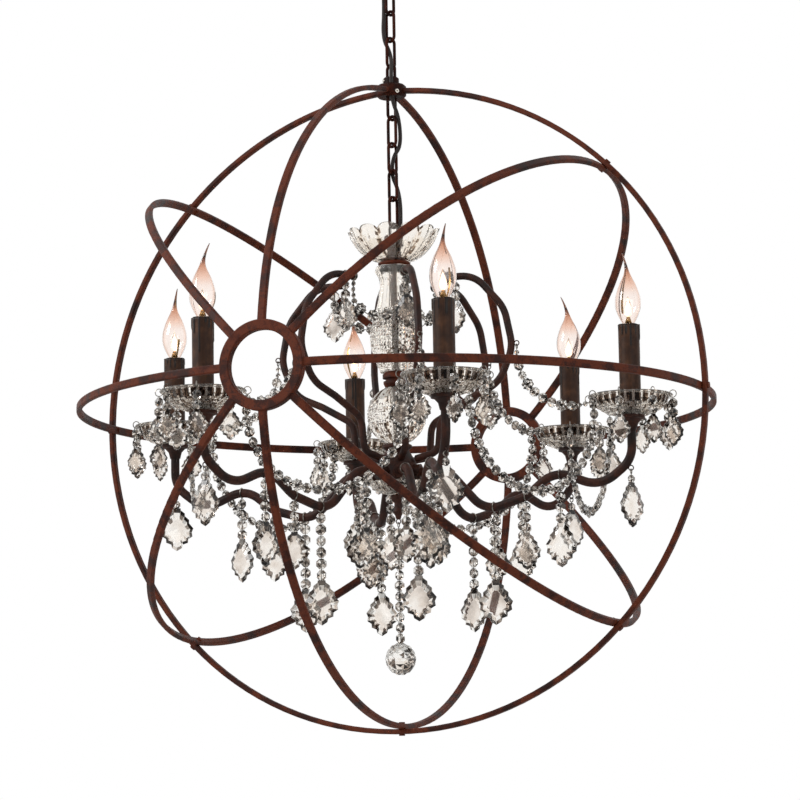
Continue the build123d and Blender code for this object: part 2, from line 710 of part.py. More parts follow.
scroll_route = [(scroll_seat_radius - 4, 17), (54, 24), (58, 66), (100, 90), (136, 106),
                (154, 150), (144, 200), (106, 244), (64, 244)]
scroll_bends = [14, 22, 40, 42, 44, 50, 40]
with BuildPart() as scroll_pattern:
    with BuildLine(Plane.XZ) as scroll_line:
        FilletPolyline(*[(x, arm_z + z) for x, z in scroll_route], radius=scroll_bends)
    with BuildSketch(Plane(origin=scroll_line.line @ 0, z_dir=scroll_line.line % 0)):
        Circle(scroll_diameter / 2)
    sweep()
    scroll_points = [scroll_line.line @ (step / 400) for step in range(401)]
    scroll_side = max(scroll_points, key=lambda point: point.X)
    scroll_hook_x = scroll_side.X + scroll_diameter / 2 + hook_ring_radius - 0.5
    scroll_hook_z = scroll_side.Z
    wire_bend(Vector(scroll_hook_x, 0, scroll_hook_z), Vector(1, 0, 0), hook_ring_radius, hook_wire,
              360.0)
tip_z = arm_z + scroll_route[-1][1]
tip_ring_radius = scroll_diameter / 2 + hook_wire / 2 + crystal_gap
tip_drop_x = scroll_route[-1][0] + 17
tip_swag_x = scroll_route[-1][0] + 2
with BuildPart() as upper_scrolls:
    with arm_places():
        add(scroll_pattern.part)
    turn([(0, arm_hub_bottom_z), (arm_hub_radius + weld_gap, arm_hub_bottom_z),
          (arm_hub_radius + weld_gap, arm_hub_top_z), (0, arm_hub_top_z)], mode=Mode.SUBTRACT)
save(upper_scrolls, "upper_scrolls")

# ---- candles: one pattern at the candle's axis, x outwards, set six times ----

nipple_radius = nipple_diameter / 2
nipple_bore = nipple_radius + nipple_clearance
cup_radius = cup_diameter / 2
cup_floor = 3.0
cup_foot_radius = arm_diameter / 2 + 1
with BuildPart() as candle_cups:
    with BuildPart(mode=Mode.PRIVATE) as cup_pattern:
        turn([(0, arm_end_z), (cup_foot_radius, arm_end_z), (cup_foot_radius + 2, arm_end_z + 8),
              (cup_radius - 4, cup_top_z - 5), (cup_radius, cup_top_z - 4), (cup_radius, cup_top_z),
              (nipple_bore, cup_top_z), (nipple_bore, arm_end_z + cup_floor),
              (0, arm_end_z + cup_floor)])
    with arm_places(candle_circle_radius):
        add(cup_pattern.part)
save(candle_cups, "candle_cups")

pan_radius = pan_diameter / 2
flange_inner_radius = pan_hole_radius - pan_hole_diameter
with BuildPart() as candle_pans:
    with BuildPart(mode=Mode.PRIVATE) as pan_pattern:
        turn([(nipple_bore, cup_top_z), (cup_radius, cup_top_z), (cup_radius + 12, cup_top_z + 4),
              (flange_inner_radius - 4, cup_top_z + 12),
              (flange_inner_radius, pan_rim_z - pan_flange_thickness),
              (pan_radius, pan_rim_z - pan_flange_thickness), (pan_radius, pan_rim_z),
              (flange_inner_radius - pan_wall, pan_rim_z),
              (flange_inner_radius - 4 - pan_wall, cup_top_z + 14),
              (cup_radius + 11, cup_top_z + 4 + pan_wall), (cup_radius + 2, sleeve_bottom_z),
              (nipple_bore, sleeve_bottom_z)])
        with Locations((0, 0, pan_rim_z)):
            with PolarLocations(pan_hole_radius, pan_holes):
                Cylinder(pan_hole_diameter / 2, 4 * pan_flange_thickness, mode=Mode.SUBTRACT)
    with arm_places(candle_circle_radius):
        add(pan_pattern.part)
save(candle_pans, "candle_pans")

sleeve_radius = sleeve_diameter / 2
with BuildPart() as candle_sleeves:
    with BuildPart(mode=Mode.PRIVATE) as sleeve_pattern:
        turn([(sleeve_radius - sleeve_wall, sleeve_bottom_z), (sleeve_radius, sleeve_bottom_z),
              (sleeve_radius, sleeve_top_z), (sleeve_radius - sleeve_wall, sleeve_top_z)])
    with arm_places(candle_circle_radius):
        add(sleeve_pattern.part)
save(candle_sleeves, "candle_sleeves")

holder_radius = holder_diameter / 2
holder_bore = (bulb_base_diameter + bulb_base_clearance) / 2
holder_stem_radius = holder_stem_diameter / 2
with BuildPart() as lamp_sockets:
    with BuildPart(mode=Mode.PRIVATE) as holder_pattern:
        nipple_z = arm_end_z + cup_floor + crystal_gap
        turn([(0, nipple_z), (nipple_radius, nipple_z), (nipple_radius, sleeve_bottom_z), (holder_stem_radius, sleeve_bottom_z),
              (holder_stem_radius, holder_bottom_z), (holder_radius, holder_bottom_z),
              (holder_radius, holder_top_z), (holder_bore, holder_top_z),
              (holder_bore, bulb_base_z - 2), (0, bulb_base_z - 2)])
    with arm_places(candle_circle_radius):
        add(holder_pattern.part)
save(lamp_sockets, "lamp_sockets")

bulb_radius = bulb_diameter / 2
base_radius = bulb_base_diameter / 2
glass_wall = 1.4
glass_z = bulb_base_z + bulb_base_height
with BuildPart() as bulb_pattern:
    turn([(0, bulb_base_z), (base_radius - 3, bulb_base_z), (base_radius, bulb_base_z + 4),
          (base_radius, glass_z), (base_radius + 1, glass_z + 2), (bulb_radius - 3, glass_z + 12),
          (bulb_radius, glass_z + 26), (bulb_radius - 1, glass_z + 34),
          (bulb_radius - 6, glass_z + 50), (bulb_radius - 10, glass_z + 60),
          (0, glass_z + 60)])
    turn([(0, glass_z + 3), (base_radius + 1 - glass_wall, glass_z + 3),
          (bulb_radius - 3 - glass_wall, glass_z + 12), (bulb_radius - glass_wall, glass_z + 26),
          (bulb_radius - 1 - glass_wall, glass_z + 34), (bulb_radius - 6 - glass_wall, glass_z + 50),
          (0, glass_z + 57)], mode=Mode.SUBTRACT)
    tail_sections = []
    for share, radius in ((0, bulb_radius - 10), (0.4, 3.2), (1, 0.8)):
        tail_x = bulb_tail_lean * share**1.8
        tail_z = glass_z + 60 + bulb_tail_length * share
        with BuildSketch(Plane(origin=(tail_x, 0, tail_z))) as tail_section:
            Circle(radius)
        tail_sections.append(tail_section.sketch)
    loft(sections=tail_sections)
for index in range(arm_count):
    out = arm_direction(index) * candle_circle_radius
    with BuildPart() as bulb:
        with Locations(Location((out.X, out.Y, 0), (0, 0, first_arm_angle + 60 * index + 140))):
            add(bulb_pattern.part)
    save(bulb, "bulb_" + str(index + 1))


# ---- crystals: beads and cut plates on wire ----


def bead_profile(radius):
    """Half the outline of a cut bead, as (distance from its axis, height)."""
    return [(radius * 0.5, -radius * 0.92), (radius, -radius * 0.35), (radius, radius * 0.35),
            (radius * 0.5, radius * 0.92)]


def strand(top_z, bead_sizes, x=0.0):
    """A straight strand of beads on a pin, hung from a height; returns the pin's lower end."""
    pin = pin_diameter / 2
    points = [(0, top_z), (pin, top_z)]
    z = top_z - 1.0
    for size in bead_sizes:
        radius = size / 2
        z -= radius
        points += [(pin, z + radius * 0.92)]
        points += [(r, z + h) for r, h in reversed(bead_profile(radius))]
        points += [(pin, z - radius * 0.92)]
        z -= radius + bead_pitch - bead_diameter
    points += [(pin, z), (0, z)]
    turn(points, x)
    return z


def plate(top_z, height, thickness, x=0.0):
    """A pear-shaped cut plate that hangs from a height and faces along x, its lower edge pointed."""
    outline = [(0.13, 0), (0.34, -0.14), (0.47, -0.40), (0.50, -0.60), (0.42, -0.78),
               (0.24, -0.92), (0, -1), (-0.24, -0.92), (-0.42, -0.78), (-0.50, -0.60),
               (-0.47, -0.40), (-0.34, -0.14), (-0.13, 0)]
    width = 0.7 * height
    with BuildSketch(Plane(origin=(x, 0, top_z), x_dir=(0, 1, 0), z_dir=(1, 0, 0))) as cut:
        with BuildLine():
            Polyline(*[(u * width, v * height) for u, v in outline], close=True)
        make_face()
    extrude(cut.sketch, amount=thickness / 2, both=True, taper=facet_taper)


def swag(start, end, sag, size, pitch, small_ends=0, face_on=False):
    """Beads strung on wire in an arc between two points that hangs by the sag, with a few small
    beads at each end; beads that lie face on are flat rosettes."""
    middle = (start + end) * 0.5 - up * sag
    chord = end - start
    across = Vector(-chord.Y, chord.X, 0).normalized()
    with BuildLine() as route:
        ThreePointArc(start, middle, end)
    with BuildSketch(Plane(origin=route.line @ 0, z_dir=route.line % 0)) as section:
        Circle(pin_diameter / 2)
    sweep(sections=section.sketch, path=route.line)
    length = route.edge().length
    end_length = small_ends * small_bead_pitch
    count = int((length - 2 * end_length) / pitch)
    step = (length - 2 * end_length) / count
    spots = [(end_length + (number + 0.5) * step, size, face_on) for number in range(count)]
    for number in range(small_ends):
        spots += [((number + 0.6) * small_bead_pitch, small_bead_diameter, False)]
        spots += [(length - (number + 0.6) * small_bead_pitch, small_bead_diameter, False)]
    beads = []
    for distance, diameter, flattened in spots:
        spot = route.line @ (distance / length)
        along = route.line % (distance / length)
        axis = across if flattened else along
        away = along if flattened else across
        flat = 0.45 if flattened else 1.0
        with BuildSketch(Plane(origin=spot, x_dir=away, z_dir=away.cross(axis))) as half:
            with BuildLine():
                Polyline((0, -diameter * 0.46 * flat),
                         *[(r, h * flat) for r, h in bead_profile(diameter / 2)],
                         (0, diameter * 0.46 * flat), close=True)
            make_face()
        beads.append(revolve(half.sketch, axis=Axis(spot, axis), mode=Mode.PRIVATE))
    add(beads)


drop_ring_step = hook_wire + crystal_gap
with BuildPart() as arm_drop_pattern:
    arm_drop_ring_z = arm_hook_z - hook_ring_radius + drop_ring_step - hook_ring_radius
    wire_bend(Vector(arm_hook_x, 0, arm_drop_ring_z), Vector(0, 1, 0), hook_ring_radius,
              hook_wire, 360.0)
    arm_drop_end = strand(arm_drop_ring_z - hook_ring_radius, [bead_diameter] * outer_drop_beads,
                          arm_hook_x)
    plate(arm_drop_end + 1, pendant_height, pendant_thickness, arm_hook_x)
for index in range(arm_count):
    with BuildPart() as arm_drop:
        with Locations(Location((0, 0, 0), (0, 0, first_arm_angle + 60 * index))):
            add(arm_drop_pattern.part)
    save(arm_drop, "arm_drop_" + str(index + 1))

strand_ring_radius = arm_diameter / 2 + hook_wire / 2 + crystal_gap
with BuildPart() as strand_pattern:
    for place, beads in ((arm_dip, inner_strand_beads), (arm_crest, middle_strand_beads)):
        wire_bend(Vector(place.X, 0, place.Z), Vector(0, 1, 0), strand_ring_radius, hook_wire, 360.0)
        strand_end = strand(place.Z - strand_ring_radius, [bead_diameter] * beads, place.X)
        plate(strand_end + 1, pendant_height, pendant_thickness, place.X)
with BuildPart() as long_strands:
    with arm_places():
        add(strand_pattern.part)
save(long_strands, "long_strands")

pan_ring_x = pan_hole_radius + pan_ring_radius
pan_ring_z = pan_rim_z - pan_flange_thickness / 2
with BuildPart() as pan_drop_pattern:
    wire_bend(Vector(pan_ring_x, 0, pan_ring_z), Vector(1, 0, 0), pan_ring_radius, pin_diameter, 360.0)
    pan_drop_end = strand(pan_ring_z - pan_ring_radius, [small_bead_diameter], pan_ring_x)
    plate(pan_drop_end + 1, small_pendant_height, small_pendant_thickness, pan_ring_x)
with BuildPart() as tip_drop_pattern:
    wire_bend(Vector(tip_drop_x, 0, tip_z), Vector(0, 1, 0), tip_ring_radius, hook_wire, 360.0)
    tip_drop_end = strand(tip_z - tip_ring_radius, [small_bead_diameter] * 2, tip_drop_x)
    plate(tip_drop_end + 1, small_pendant_height, small_pendant_thickness, tip_drop_x)
with BuildPart() as pan_drop_set:
    with PolarLocations(0, 5, start_angle=-90, angular_range=180, endpoint=True):
        add(pan_drop_pattern.part)
with BuildPart() as small_drops:
    with arm_places(candle_circle_radius):
        add(pan_drop_set.part)
    with arm_places():
        add(tip_drop_pattern.part)
save(small_drops, "small_drops")


def turned_point(x, y, z, angle):
    """A point given in one arm's directions, turned about the column."""
    a = radians(angle)
    return Vector(x * cos(a) - y * sin(a), x * sin(a) + y * cos(a), z)


with BuildPart() as swag_pattern:
    # from one pan to the next
    reach = pan_ring_x / sqrt(2)
    swag_z = pan_ring_z - pan_ring_radius
    swag_start = Vector(candle_circle_radius - reach, reach, swag_z)
    swag_end = turned_point(candle_circle_radius - reach, -reach, swag_z, 60)
    swag(swag_start, swag_end, candle_swag_sag, bead_diameter, bead_pitch)
    wire_bend(swag_start + up * pan_ring_radius, Vector(-1, 1, 0).normalized(), pan_ring_radius,
              pin_diameter, 360.0)
    wire_bend(swag_end + up * pan_ring_radius, turned_point(-1, -1, 0, 60).normalized(),
              pan_ring_radius, pin_diameter, 360.0)
    # from one scroll's tip to the next
    tip_start = Vector(tip_swag_x, 0, tip_z - tip_ring_radius)
    tip_end = turned_point(tip_swag_x + 2, 0, tip_z - tip_ring_radius, 60)
    swag(tip_start, tip_end, tip_swag_sag, rosette_diameter, rosette_diameter + 1, 4, True)
    wire_bend(tip_start + up * tip_ring_radius, Vector(0, 1, 0), tip_ring_radius, hook_wire, 360.0)
    wire_bend(tip_end + up * tip_ring_radius, turned_point(0, 1, 0, 60), tip_ring_radius, hook_wire,
              360.0)
    # from the scroll's side to the pan
    side_ring_z = scroll_hook_z - hook_ring_radius + drop_ring_step - hook_ring_radius
    side_start = Vector(scroll_hook_x, 0, side_ring_z - hook_ring_radius)
    side_end = Vector(candle_circle_radius - pan_ring_x, 0, swag_z)
    swag(side_start, side_end, scroll_swag_sag, bead_diameter, bead_pitch, 2)
    wire_bend(Vector(scroll_hook_x, 0, side_ring_z), Vector(0, 1, 0), hook_ring_radius, hook_wire,
              360.0)
    wire_bend(side_end + up * pan_ring_radius, Vector(1, 0, 0), pan_ring_radius, pin_diameter, 360.0)
with BuildPart() as bead_swags:
    with arm_places():
        add(swag_pattern.part)
save(bead_swags, "bead_swags")

with BuildPart() as ball_drop:
    ball_drop_ring_z = finial_ring_z - hook_ring_radius + drop_ring_step - hook_ring_radius
    wire_bend(Vector(0, 0, ball_drop_ring_z), Vector(0, 1, 0), hook_ring_radius, hook_wire, 360.0)
    ball_sizes = [bead_diameter] * (ball_strand_beads - 2) + [bead_diameter + 3, bead_diameter + 5]
    ball_strand_end = strand(ball_drop_ring_z - hook_ring_radius, ball_sizes)
    with Locations((0, 0, ball_strand_end + 1 - crystal_ball_diameter / 2)):
        Sphere(crystal_ball_diameter / 2)
save(ball_drop, "ball_drop")

# ---- power cord: laced along the two chains ----


def cord_vector(right, near, height):
    """A point given towards the right and towards the front of the view, above the orb's centre."""
    return view_right * right + view_near * near + up * (orb_z + height)


def cord_bends(points, share=0.45):
    """The bend radius at each inner point, from the shorter of the two runs that meet there."""
    bends = []
    for before, here, after in zip(points, points[1:], points[2:]):
        arrive = here - before
        leave = after - here
        turn_angle = radians(arrive.get_angle(leave))
        bends.append(share * min(arrive.length, leave.length) / abs(sin(turn_angle / 2)
                     / cos(turn_angle / 2)))
    return bends


def make_cord(points):
    """A round cord along straight runs joined by arcs."""
    with BuildPart() as cord:
        with BuildLine() as route:
            FilletPolyline(*points, radius=cord_bends(points))
        with BuildSketch(Plane(origin=route.line @ 0, z_dir=route.line % 0)):
            Circle(cord_diameter / 2)
        sweep(path=route.line)
    return cord


# The upper length runs from inside the canopy, through the lowest link of the upper chain, into the
# hub; the lower one leaves the hub, passes through the second inner link and enters the stem's cap.
hub_mouth_z = hub_top_z + hub_boss_height
upper_cord_route = [cord_exit - up * 13.0, cord_exit - up * (canopy_depth + 2),
                    cord_vector(-8.8, -0.1, 548), cord_vector(-7.3, 0.2, 520),
                    cord_vector(-9.9, -0.9, 479.7), cord_vector(-0.6, 0.3, 460),
                    cord_vector(0.8, 7.7, 444), cord_hub_spot + up * (hub_mouth_z + 2.5),
                    cord_hub_spot + up * hub_top_z]
lower_cord_route = [cord_hub_spot + up * (hub_top_z - crystal_gap),
                    cord_hub_spot + up * (hub_bottom_z - 5), cord_vector(9.5, 0.5, 374.1),
                    cord_vector(11.0, 0.1, 337.4), cord_vector(0.9, 0.4, 324.2),
                    cord_vector(-1.6, -9.2, 302.6), cord_vector(5.7, -6.5, 285),
                    cord_vector(9.2, 0.4, 264), cord_vector(9.2, 0, 240),
                    cord_cap_spot + up * (stem_top_z + 2), cord_cap_spot + up * (stem_top_z - 10)]
save(make_cord(upper_cord_route), "power_cord_upper")
save(make_cord(lower_cord_route), "power_cord_lower")
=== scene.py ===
from math import atan2, cos, pi, radians, sin, sqrt
from random import Random

import bmesh
import bpy
from mathutils import Matrix, Quaternion, Vector
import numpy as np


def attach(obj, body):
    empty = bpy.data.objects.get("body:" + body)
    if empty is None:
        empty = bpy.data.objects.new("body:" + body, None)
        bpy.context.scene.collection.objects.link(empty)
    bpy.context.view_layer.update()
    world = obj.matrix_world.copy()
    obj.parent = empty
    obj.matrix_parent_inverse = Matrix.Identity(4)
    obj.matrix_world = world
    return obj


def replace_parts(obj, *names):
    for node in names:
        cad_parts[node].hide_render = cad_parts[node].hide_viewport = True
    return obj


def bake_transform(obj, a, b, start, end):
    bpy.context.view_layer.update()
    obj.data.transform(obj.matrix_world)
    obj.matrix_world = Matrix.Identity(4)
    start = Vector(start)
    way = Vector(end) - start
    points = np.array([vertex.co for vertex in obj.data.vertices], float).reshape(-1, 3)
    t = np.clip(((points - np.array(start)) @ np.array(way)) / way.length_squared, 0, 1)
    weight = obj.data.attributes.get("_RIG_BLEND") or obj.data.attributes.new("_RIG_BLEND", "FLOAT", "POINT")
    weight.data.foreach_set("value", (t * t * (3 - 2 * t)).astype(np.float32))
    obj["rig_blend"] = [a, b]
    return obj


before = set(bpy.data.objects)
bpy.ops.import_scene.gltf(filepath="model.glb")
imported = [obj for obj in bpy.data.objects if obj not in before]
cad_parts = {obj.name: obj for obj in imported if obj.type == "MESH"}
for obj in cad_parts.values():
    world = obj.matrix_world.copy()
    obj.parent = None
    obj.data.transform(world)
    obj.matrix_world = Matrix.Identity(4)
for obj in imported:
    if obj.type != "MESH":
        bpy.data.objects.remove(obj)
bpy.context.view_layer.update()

# Orb chandelier. Lengths in the sections are in millimetres, heights are counted from the ceiling,
# and mm turns them into the metres that the frame is in.
mm = 0.001

# ---- Studio ----
# A white room with a pale floor under the hanging lamp. Soft daylight comes from everywhere, with
# one large panel high on the left and a weaker one low on the right, at a plain level.


def linear(hex_colour):
    """A colour as a screen shows it, in the linear values that a shader takes."""
    parts = [int(hex_colour[i:i + 2], 16) / 255 for i in (1, 3, 5)]
    return [p / 12.92 if p <= 0.04045 else ((p + 0.055) / 1.055) ** 2.4 for p in parts] + [1.0]


def add(tree, kind, inputs=None, stops=None, **settings):
    """Adds a node with its settings, its inputs (values or links) and its colour stops."""
    made = tree.nodes.new(kind)
    for name, value in settings.items():
        setattr(made, name, value)
    for name, value in (inputs or {}).items():
        if isinstance(value, bpy.types.NodeSocket):
            tree.links.new(value, made.inputs[name])
        else:
            made.inputs[name].default_value = value
    if stops:
        ramp = made.color_ramp.elements
        while len(ramp) < len(stops):
            ramp.new(0.5)
        for element, (position, colour) in zip(ramp, stops):
            element.position = position
            element.color = linear(colour)
    return made


def start_material(name):
    """An empty material and its node tree."""
    material = bpy.data.materials.new(name)
    material.use_nodes = True
    material.node_tree.nodes.clear()
    return material, material.node_tree


def close(tree, shader):
    """Sets the finished shader on the material's surface."""
    add(tree, "ShaderNodeOutputMaterial", {"Surface": shader.outputs[0]})


def plain_finish(name, scale, detail, stops, dull, metal=0.0):
    """A material of one finish, whose colour drifts a little in soft patches."""
    material, tree = start_material(name)
    drift = add(tree, "ShaderNodeTexNoise", {
        "Vector": add(tree, "ShaderNodeTexCoord").outputs["Object"],
        "Scale": scale, "Detail": detail})
    colour = add(tree, "ShaderNodeValToRGB", {"Fac": drift.outputs[0]}, stops=stops)
    close(tree, add(tree, "ShaderNodeBsdfPrincipled", {
        "Base Color": colour.outputs[0], "Metallic": metal, "Roughness": dull}))
    return material


def seen_directly(tree):
    """1 where a camera, mirror or glass ray looks at the room, and 0 for its light."""
    path = add(tree, "ShaderNodeLightPath")
    seen = add(tree, "ShaderNodeMath", {0: path.outputs["Is Camera Ray"],
                                        1: path.outputs["Is Glossy Ray"]}, operation="MAXIMUM")
    return add(tree, "ShaderNodeMath", {0: seen.outputs[0],
                                        1: path.outputs["Is Transmission Ray"]},
               operation="MAXIMUM").outputs[0]


world = bpy.data.worlds.new("white_room")
bpy.context.scene.world = world
world.use_nodes = True
world.node_tree.nodes.clear()
# the light that the room gives, and the white that it shows
room_light = add(world.node_tree, "ShaderNodeBackground", {"Color": linear("#ffffff"),
                                                           "Strength": 0.50})
room_seen = add(world.node_tree, "ShaderNodeBackground", {"Color": linear("#ffffff"),
                                                          "Strength": 1.0})
room = add(world.node_tree, "ShaderNodeMixShader", {0: seen_directly(world.node_tree),
                                                    1: room_light.outputs[0],
                                                    2: room_seen.outputs[0]})
add(world.node_tree, "ShaderNodeOutputWorld", {"Surface": room.outputs[0]})

floor_height, floor_reach = -2.7, 14.0
floor_shape = bmesh.new()
bmesh.ops.create_grid(floor_shape, x_segments=1, y_segments=1, size=floor_reach,
                      matrix=Matrix.Translation((0, 0, floor_height)))
floor_mesh = bpy.data.meshes.new("studio_floor")
floor_shape.to_mesh(floor_mesh)
floor_shape.free()
studio_floor = bpy.data.objects.new("studio_floor", floor_mesh)
bpy.context.scene.collection.objects.link(studio_floor)
# painted floor: matt, nearly white
floor_mesh.materials.append(plain_finish("matt_white_floor", 3.0, 3.0,
                                         [(0.3, "#f1f1ef"), (0.7, "#f6f6f4")], 0.8))

lit_spot, panel_size = Vector((0, 0, -0.6)), 1.6
for name, spot, watts in (("panel_left", (-2.6, -2.4, 1.3), 84.0),
                          ("panel_right", (2.8, -2.0, -0.4), 14.0)):
    light = bpy.data.lights.new(name, "AREA")
    light.size = panel_size
    light.energy = watts
    panel = bpy.data.objects.new(name, light)
    panel.location = spot
    panel.rotation_mode = "QUATERNION"
    panel.rotation_quaternion = (lit_spot - Vector(spot)).to_track_quat("-Z", "Y")
    bpy.context.scene.collection.objects.link(panel)

# The camera stands a little below the orb and to its right, and looks slightly up.
orb_centre = Vector((0, 0, -594.7)) * mm
camera_azimuth, camera_elevation, camera_distance = 22.7, -8.3, 3.70
camera_roll, camera_lens = 0.96, 132.6
lens = bpy.data.cameras.new("camera")
lens.lens = camera_lens
lens.sensor_width = 36
lens.shift_x = 0.0042
lens.shift_y = 0.0111
camera = bpy.data.objects.new("camera", lens)
bpy.context.scene.collection.objects.link(camera)
bpy.context.scene.camera = camera
turn_a, turn_e = radians(camera_azimuth), radians(camera_elevation)
sight = Vector((sin(turn_a) * cos(turn_e), -cos(turn_a) * cos(turn_e), sin(turn_e)))
camera.location = orb_centre + sight * camera_distance
camera.rotation_mode = "QUATERNION"
camera.rotation_quaternion = ((-sight).to_track_quat("-Z", "Y")
                              @ Quaternion((0, 0, 1), radians(-camera_roll)))
bpy.context.scene.view_settings.view_transform = "Standard"

# ---- Power cord ----
# A 5 mm round cord with a woven cotton cover, laced through the links of both chains. It is split
# at the middles of the links, so that each length bends with the two links that it crosses.

# the directions to the photograph's right and towards its camera
view_turn = radians(22.5)
view_right = Vector((cos(view_turn), sin(view_turn), 0))
view_near = Vector((sin(view_turn), -cos(view_turn), 0))
cord_diameter, thread_pitch = 5.0, 1.2

# woven cotton: matt black brown with two crossed sets of threads, drawn a little coarse
woven_cotton, tree = start_material("woven_cotton_black_brown")
place = add(tree, "ShaderNodeTexCoord").outputs["Object"]
threads = []
for tilt in (48, -48):
    turned_place = add(tree, "ShaderNodeMapping", {
        "Vector": place, "Rotation": (0, radians(tilt), radians(20))})
    threads.append(add(tree, "ShaderNodeTexWave", {
        "Vector": turned_place.outputs[0], "Scale": 1 / (3.3 * thread_pitch * mm),
        "Distortion": 0.4, "Detail": 1.0}, bands_direction="Z").outputs[0])
weave = add(tree, "ShaderNodeMath", {0: threads[0], 1: threads[1]}, operation="MULTIPLY")
weave_colour = add(tree, "ShaderNodeValToRGB", {"Fac": weave.outputs[0]},
                   stops=[(0.05, "#15100e"), (0.5, "#2e2320"), (0.9, "#44332c")])
weave_bump = add(tree, "ShaderNodeBump", {"Height": weave.outputs[0], "Strength": 0.5,
                                          "Distance": 0.0004})
close(tree, add(tree, "ShaderNodeBsdfPrincipled", {
    "Base Color": weave_colour.outputs[0], "Roughness": 0.85, "Sheen Weight": 0.25,
    "Normal": weave_bump.outputs[0]}))


def cord_route(spots):
    """Points down a cord whose route is given as (right, near, height above the orb's centre)."""
    curve = bpy.data.curves.new("route", "CURVE")
    curve.dimensions = "3D"
    spline = curve.splines.new("NURBS")
    spline.points.add(len(spots) - 1)
    for point, (right, near, height) in zip(spline.points, spots):
        point.co = (*(orb_centre + (view_right * right + view_near * near
                                    + Vector((0, 0, height))) * mm), 1.0)
    spline.order_u = 3
    spline.use_endpoint_u = True
    spline.resolution_u = 24
    guide = bpy.data.objects.new("route", curve)
    line = bpy.data.meshes.new_from_object(guide)
    points = [vertex.co.copy() for vertex in line.vertices]
    bpy.data.objects.remove(guide)
    bpy.data.curves.remove(curve)
    bpy.data.meshes.remove(line)
    return points


def cord_length(name, points, bodies, node):
    """One length of cord between two bodies that one joint links, as a tube along its points."""
    curve = bpy.data.curves.new(name, "CURVE")
    curve.dimensions = "3D"
    curve.bevel_depth = cord_diameter / 2 * mm
    curve.bevel_resolution = 5
    curve.use_fill_caps = True
    spline = curve.splines.new("POLY")
    spline.points.add(len(points) - 1)
    for point, spot in zip(spline.points, points):
        point.co = (*spot, 1.0)
    guide = bpy.data.objects.new(name + "_guide", curve)
    mesh = bpy.data.meshes.new_from_object(guide)
    bpy.data.objects.remove(guide)
    mesh.name = name
    mesh.materials.clear()
    mesh.materials.append(woven_cotton)
    for polygon in mesh.polygons:
        polygon.use_smooth = True
    tube = bpy.data.objects.new(name, mesh)
    bpy.context.scene.collection.objects.link(tube)
    top, bottom = points[0].z, points[-1].z
    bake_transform(tube, bodies[0], bodies[1], start=(0, 0, top - mm), end=(0, 0, bottom + mm))
    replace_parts(tube, node)


below_all = -9.0
# each cord: its node, its name, its route, the heights where it is split, and the bodies it joins
for node, title, spots, cuts, chain in (
        ("power_cord_upper", "upper_cord",
         [(-16, 0, 581.7), (-16, 0, 566.7), (-8.8, -0.1, 548), (-7.3, 0.2, 520),
          (-9.9, -0.9, 479.7), (-0.6, 0.3, 460), (0.8, 7.7, 444), (0, 11, 429.5), (0, 11, 417)],
         [-67.5, -102.5, -137.5],
         ["ceiling", "upper_link_1", "upper_link_2", "upper_link_3", "orb"]),
        ("power_cord_lower", "lower_cord",
         [(0, 11, 416.7), (0, 11, 396), (9.5, 0.5, 374.1), (11, 0.1, 337.4), (0.9, 0.4, 324.2),
          (-1.6, -9.2, 302.6), (5.7, -6.5, 285), (9.2, 0.4, 264), (9.2, 0, 240), (8.2, 0, 224),
          (8.2, 0, 212)],
         [-240.2, -275.2, -310.2, -345.2],
         ["orb", "inner_link_1", "inner_link_2", "inner_link_3", "inner_link_4", "chandelier"])):
    line = cord_route(spots)
    limits = [0.0] + [cut * mm for cut in cuts] + [below_all]
    for index, bodies in enumerate(zip(chain, chain[1:])):
        stretch = [p for p in line if limits[index + 1] <= p.z <= limits[index]]
        following = [p for p in line if p.z < limits[index + 1]]
        if following:
            stretch.append(following[0])
        limits[index + 1] = stretch[-1].z
        cord_length(title + "_" + str(index + 1), stretch, bodies, node)

# ---- Wrought iron: hoops, rings, rivets, hub, chains and arms ----
# Mild steel bar and rod, forged to shape, welded and riveted, then left to rust brown under a thin
# wax. The wax gives it a low sheen; the rust mottles it in patches about 30 mm across.


def iron(name, stops, shine, gloss, patch=30.0):
    """Waxed rusted iron: mottled colour, fine grit in the surface and a low uneven sheen."""
    grain, grain_share = 1.6, 0.24
    material, tree = start_material(name)
    place = add(tree, "ShaderNodeTexCoord").outputs["Object"]
    mottle = add(tree, "ShaderNodeTexNoise", {"Vector": place, "Scale": 1 / (patch * mm),
                                              "Detail": 6.0, "Roughness": 0.62})
    grit = add(tree, "ShaderNodeTexNoise", {"Vector": place, "Scale": 1 / (grain * mm),
                                            "Detail": 2.0, "Roughness": 0.6})
    mixed = add(tree, "ShaderNodeMath", {0: grit.outputs[0], 1: grain_share,
                                         2: -grain_share / 2}, operation="MULTIPLY_ADD")
    tone = add(tree, "ShaderNodeMath", {0: mottle.outputs[0], 1: mixed.outputs[0]},
               operation="ADD")
    colour = add(tree, "ShaderNodeValToRGB", {"Fac": tone.outputs[0]}, stops=stops)
    dull = add(tree, "ShaderNodeMapRange", {"Value": tone.outputs[0], "From Min": 0.3,
                                            "From Max": 0.7, "To Min": shine,
                                            "To Max": shine + 0.18})
    bump = add(tree, "ShaderNodeBump", {"Height": grit.outputs[0], "Strength": 0.35,
                                        "Distance": 0.0004})
    close(tree, add(tree, "ShaderNodeBsdfPrincipled", {
        "Base Color": colour.outputs[0], "Roughness": dull.outputs[0],
        "Specular IOR Level": gloss, "Normal": bump.outputs[0]}))
    return material


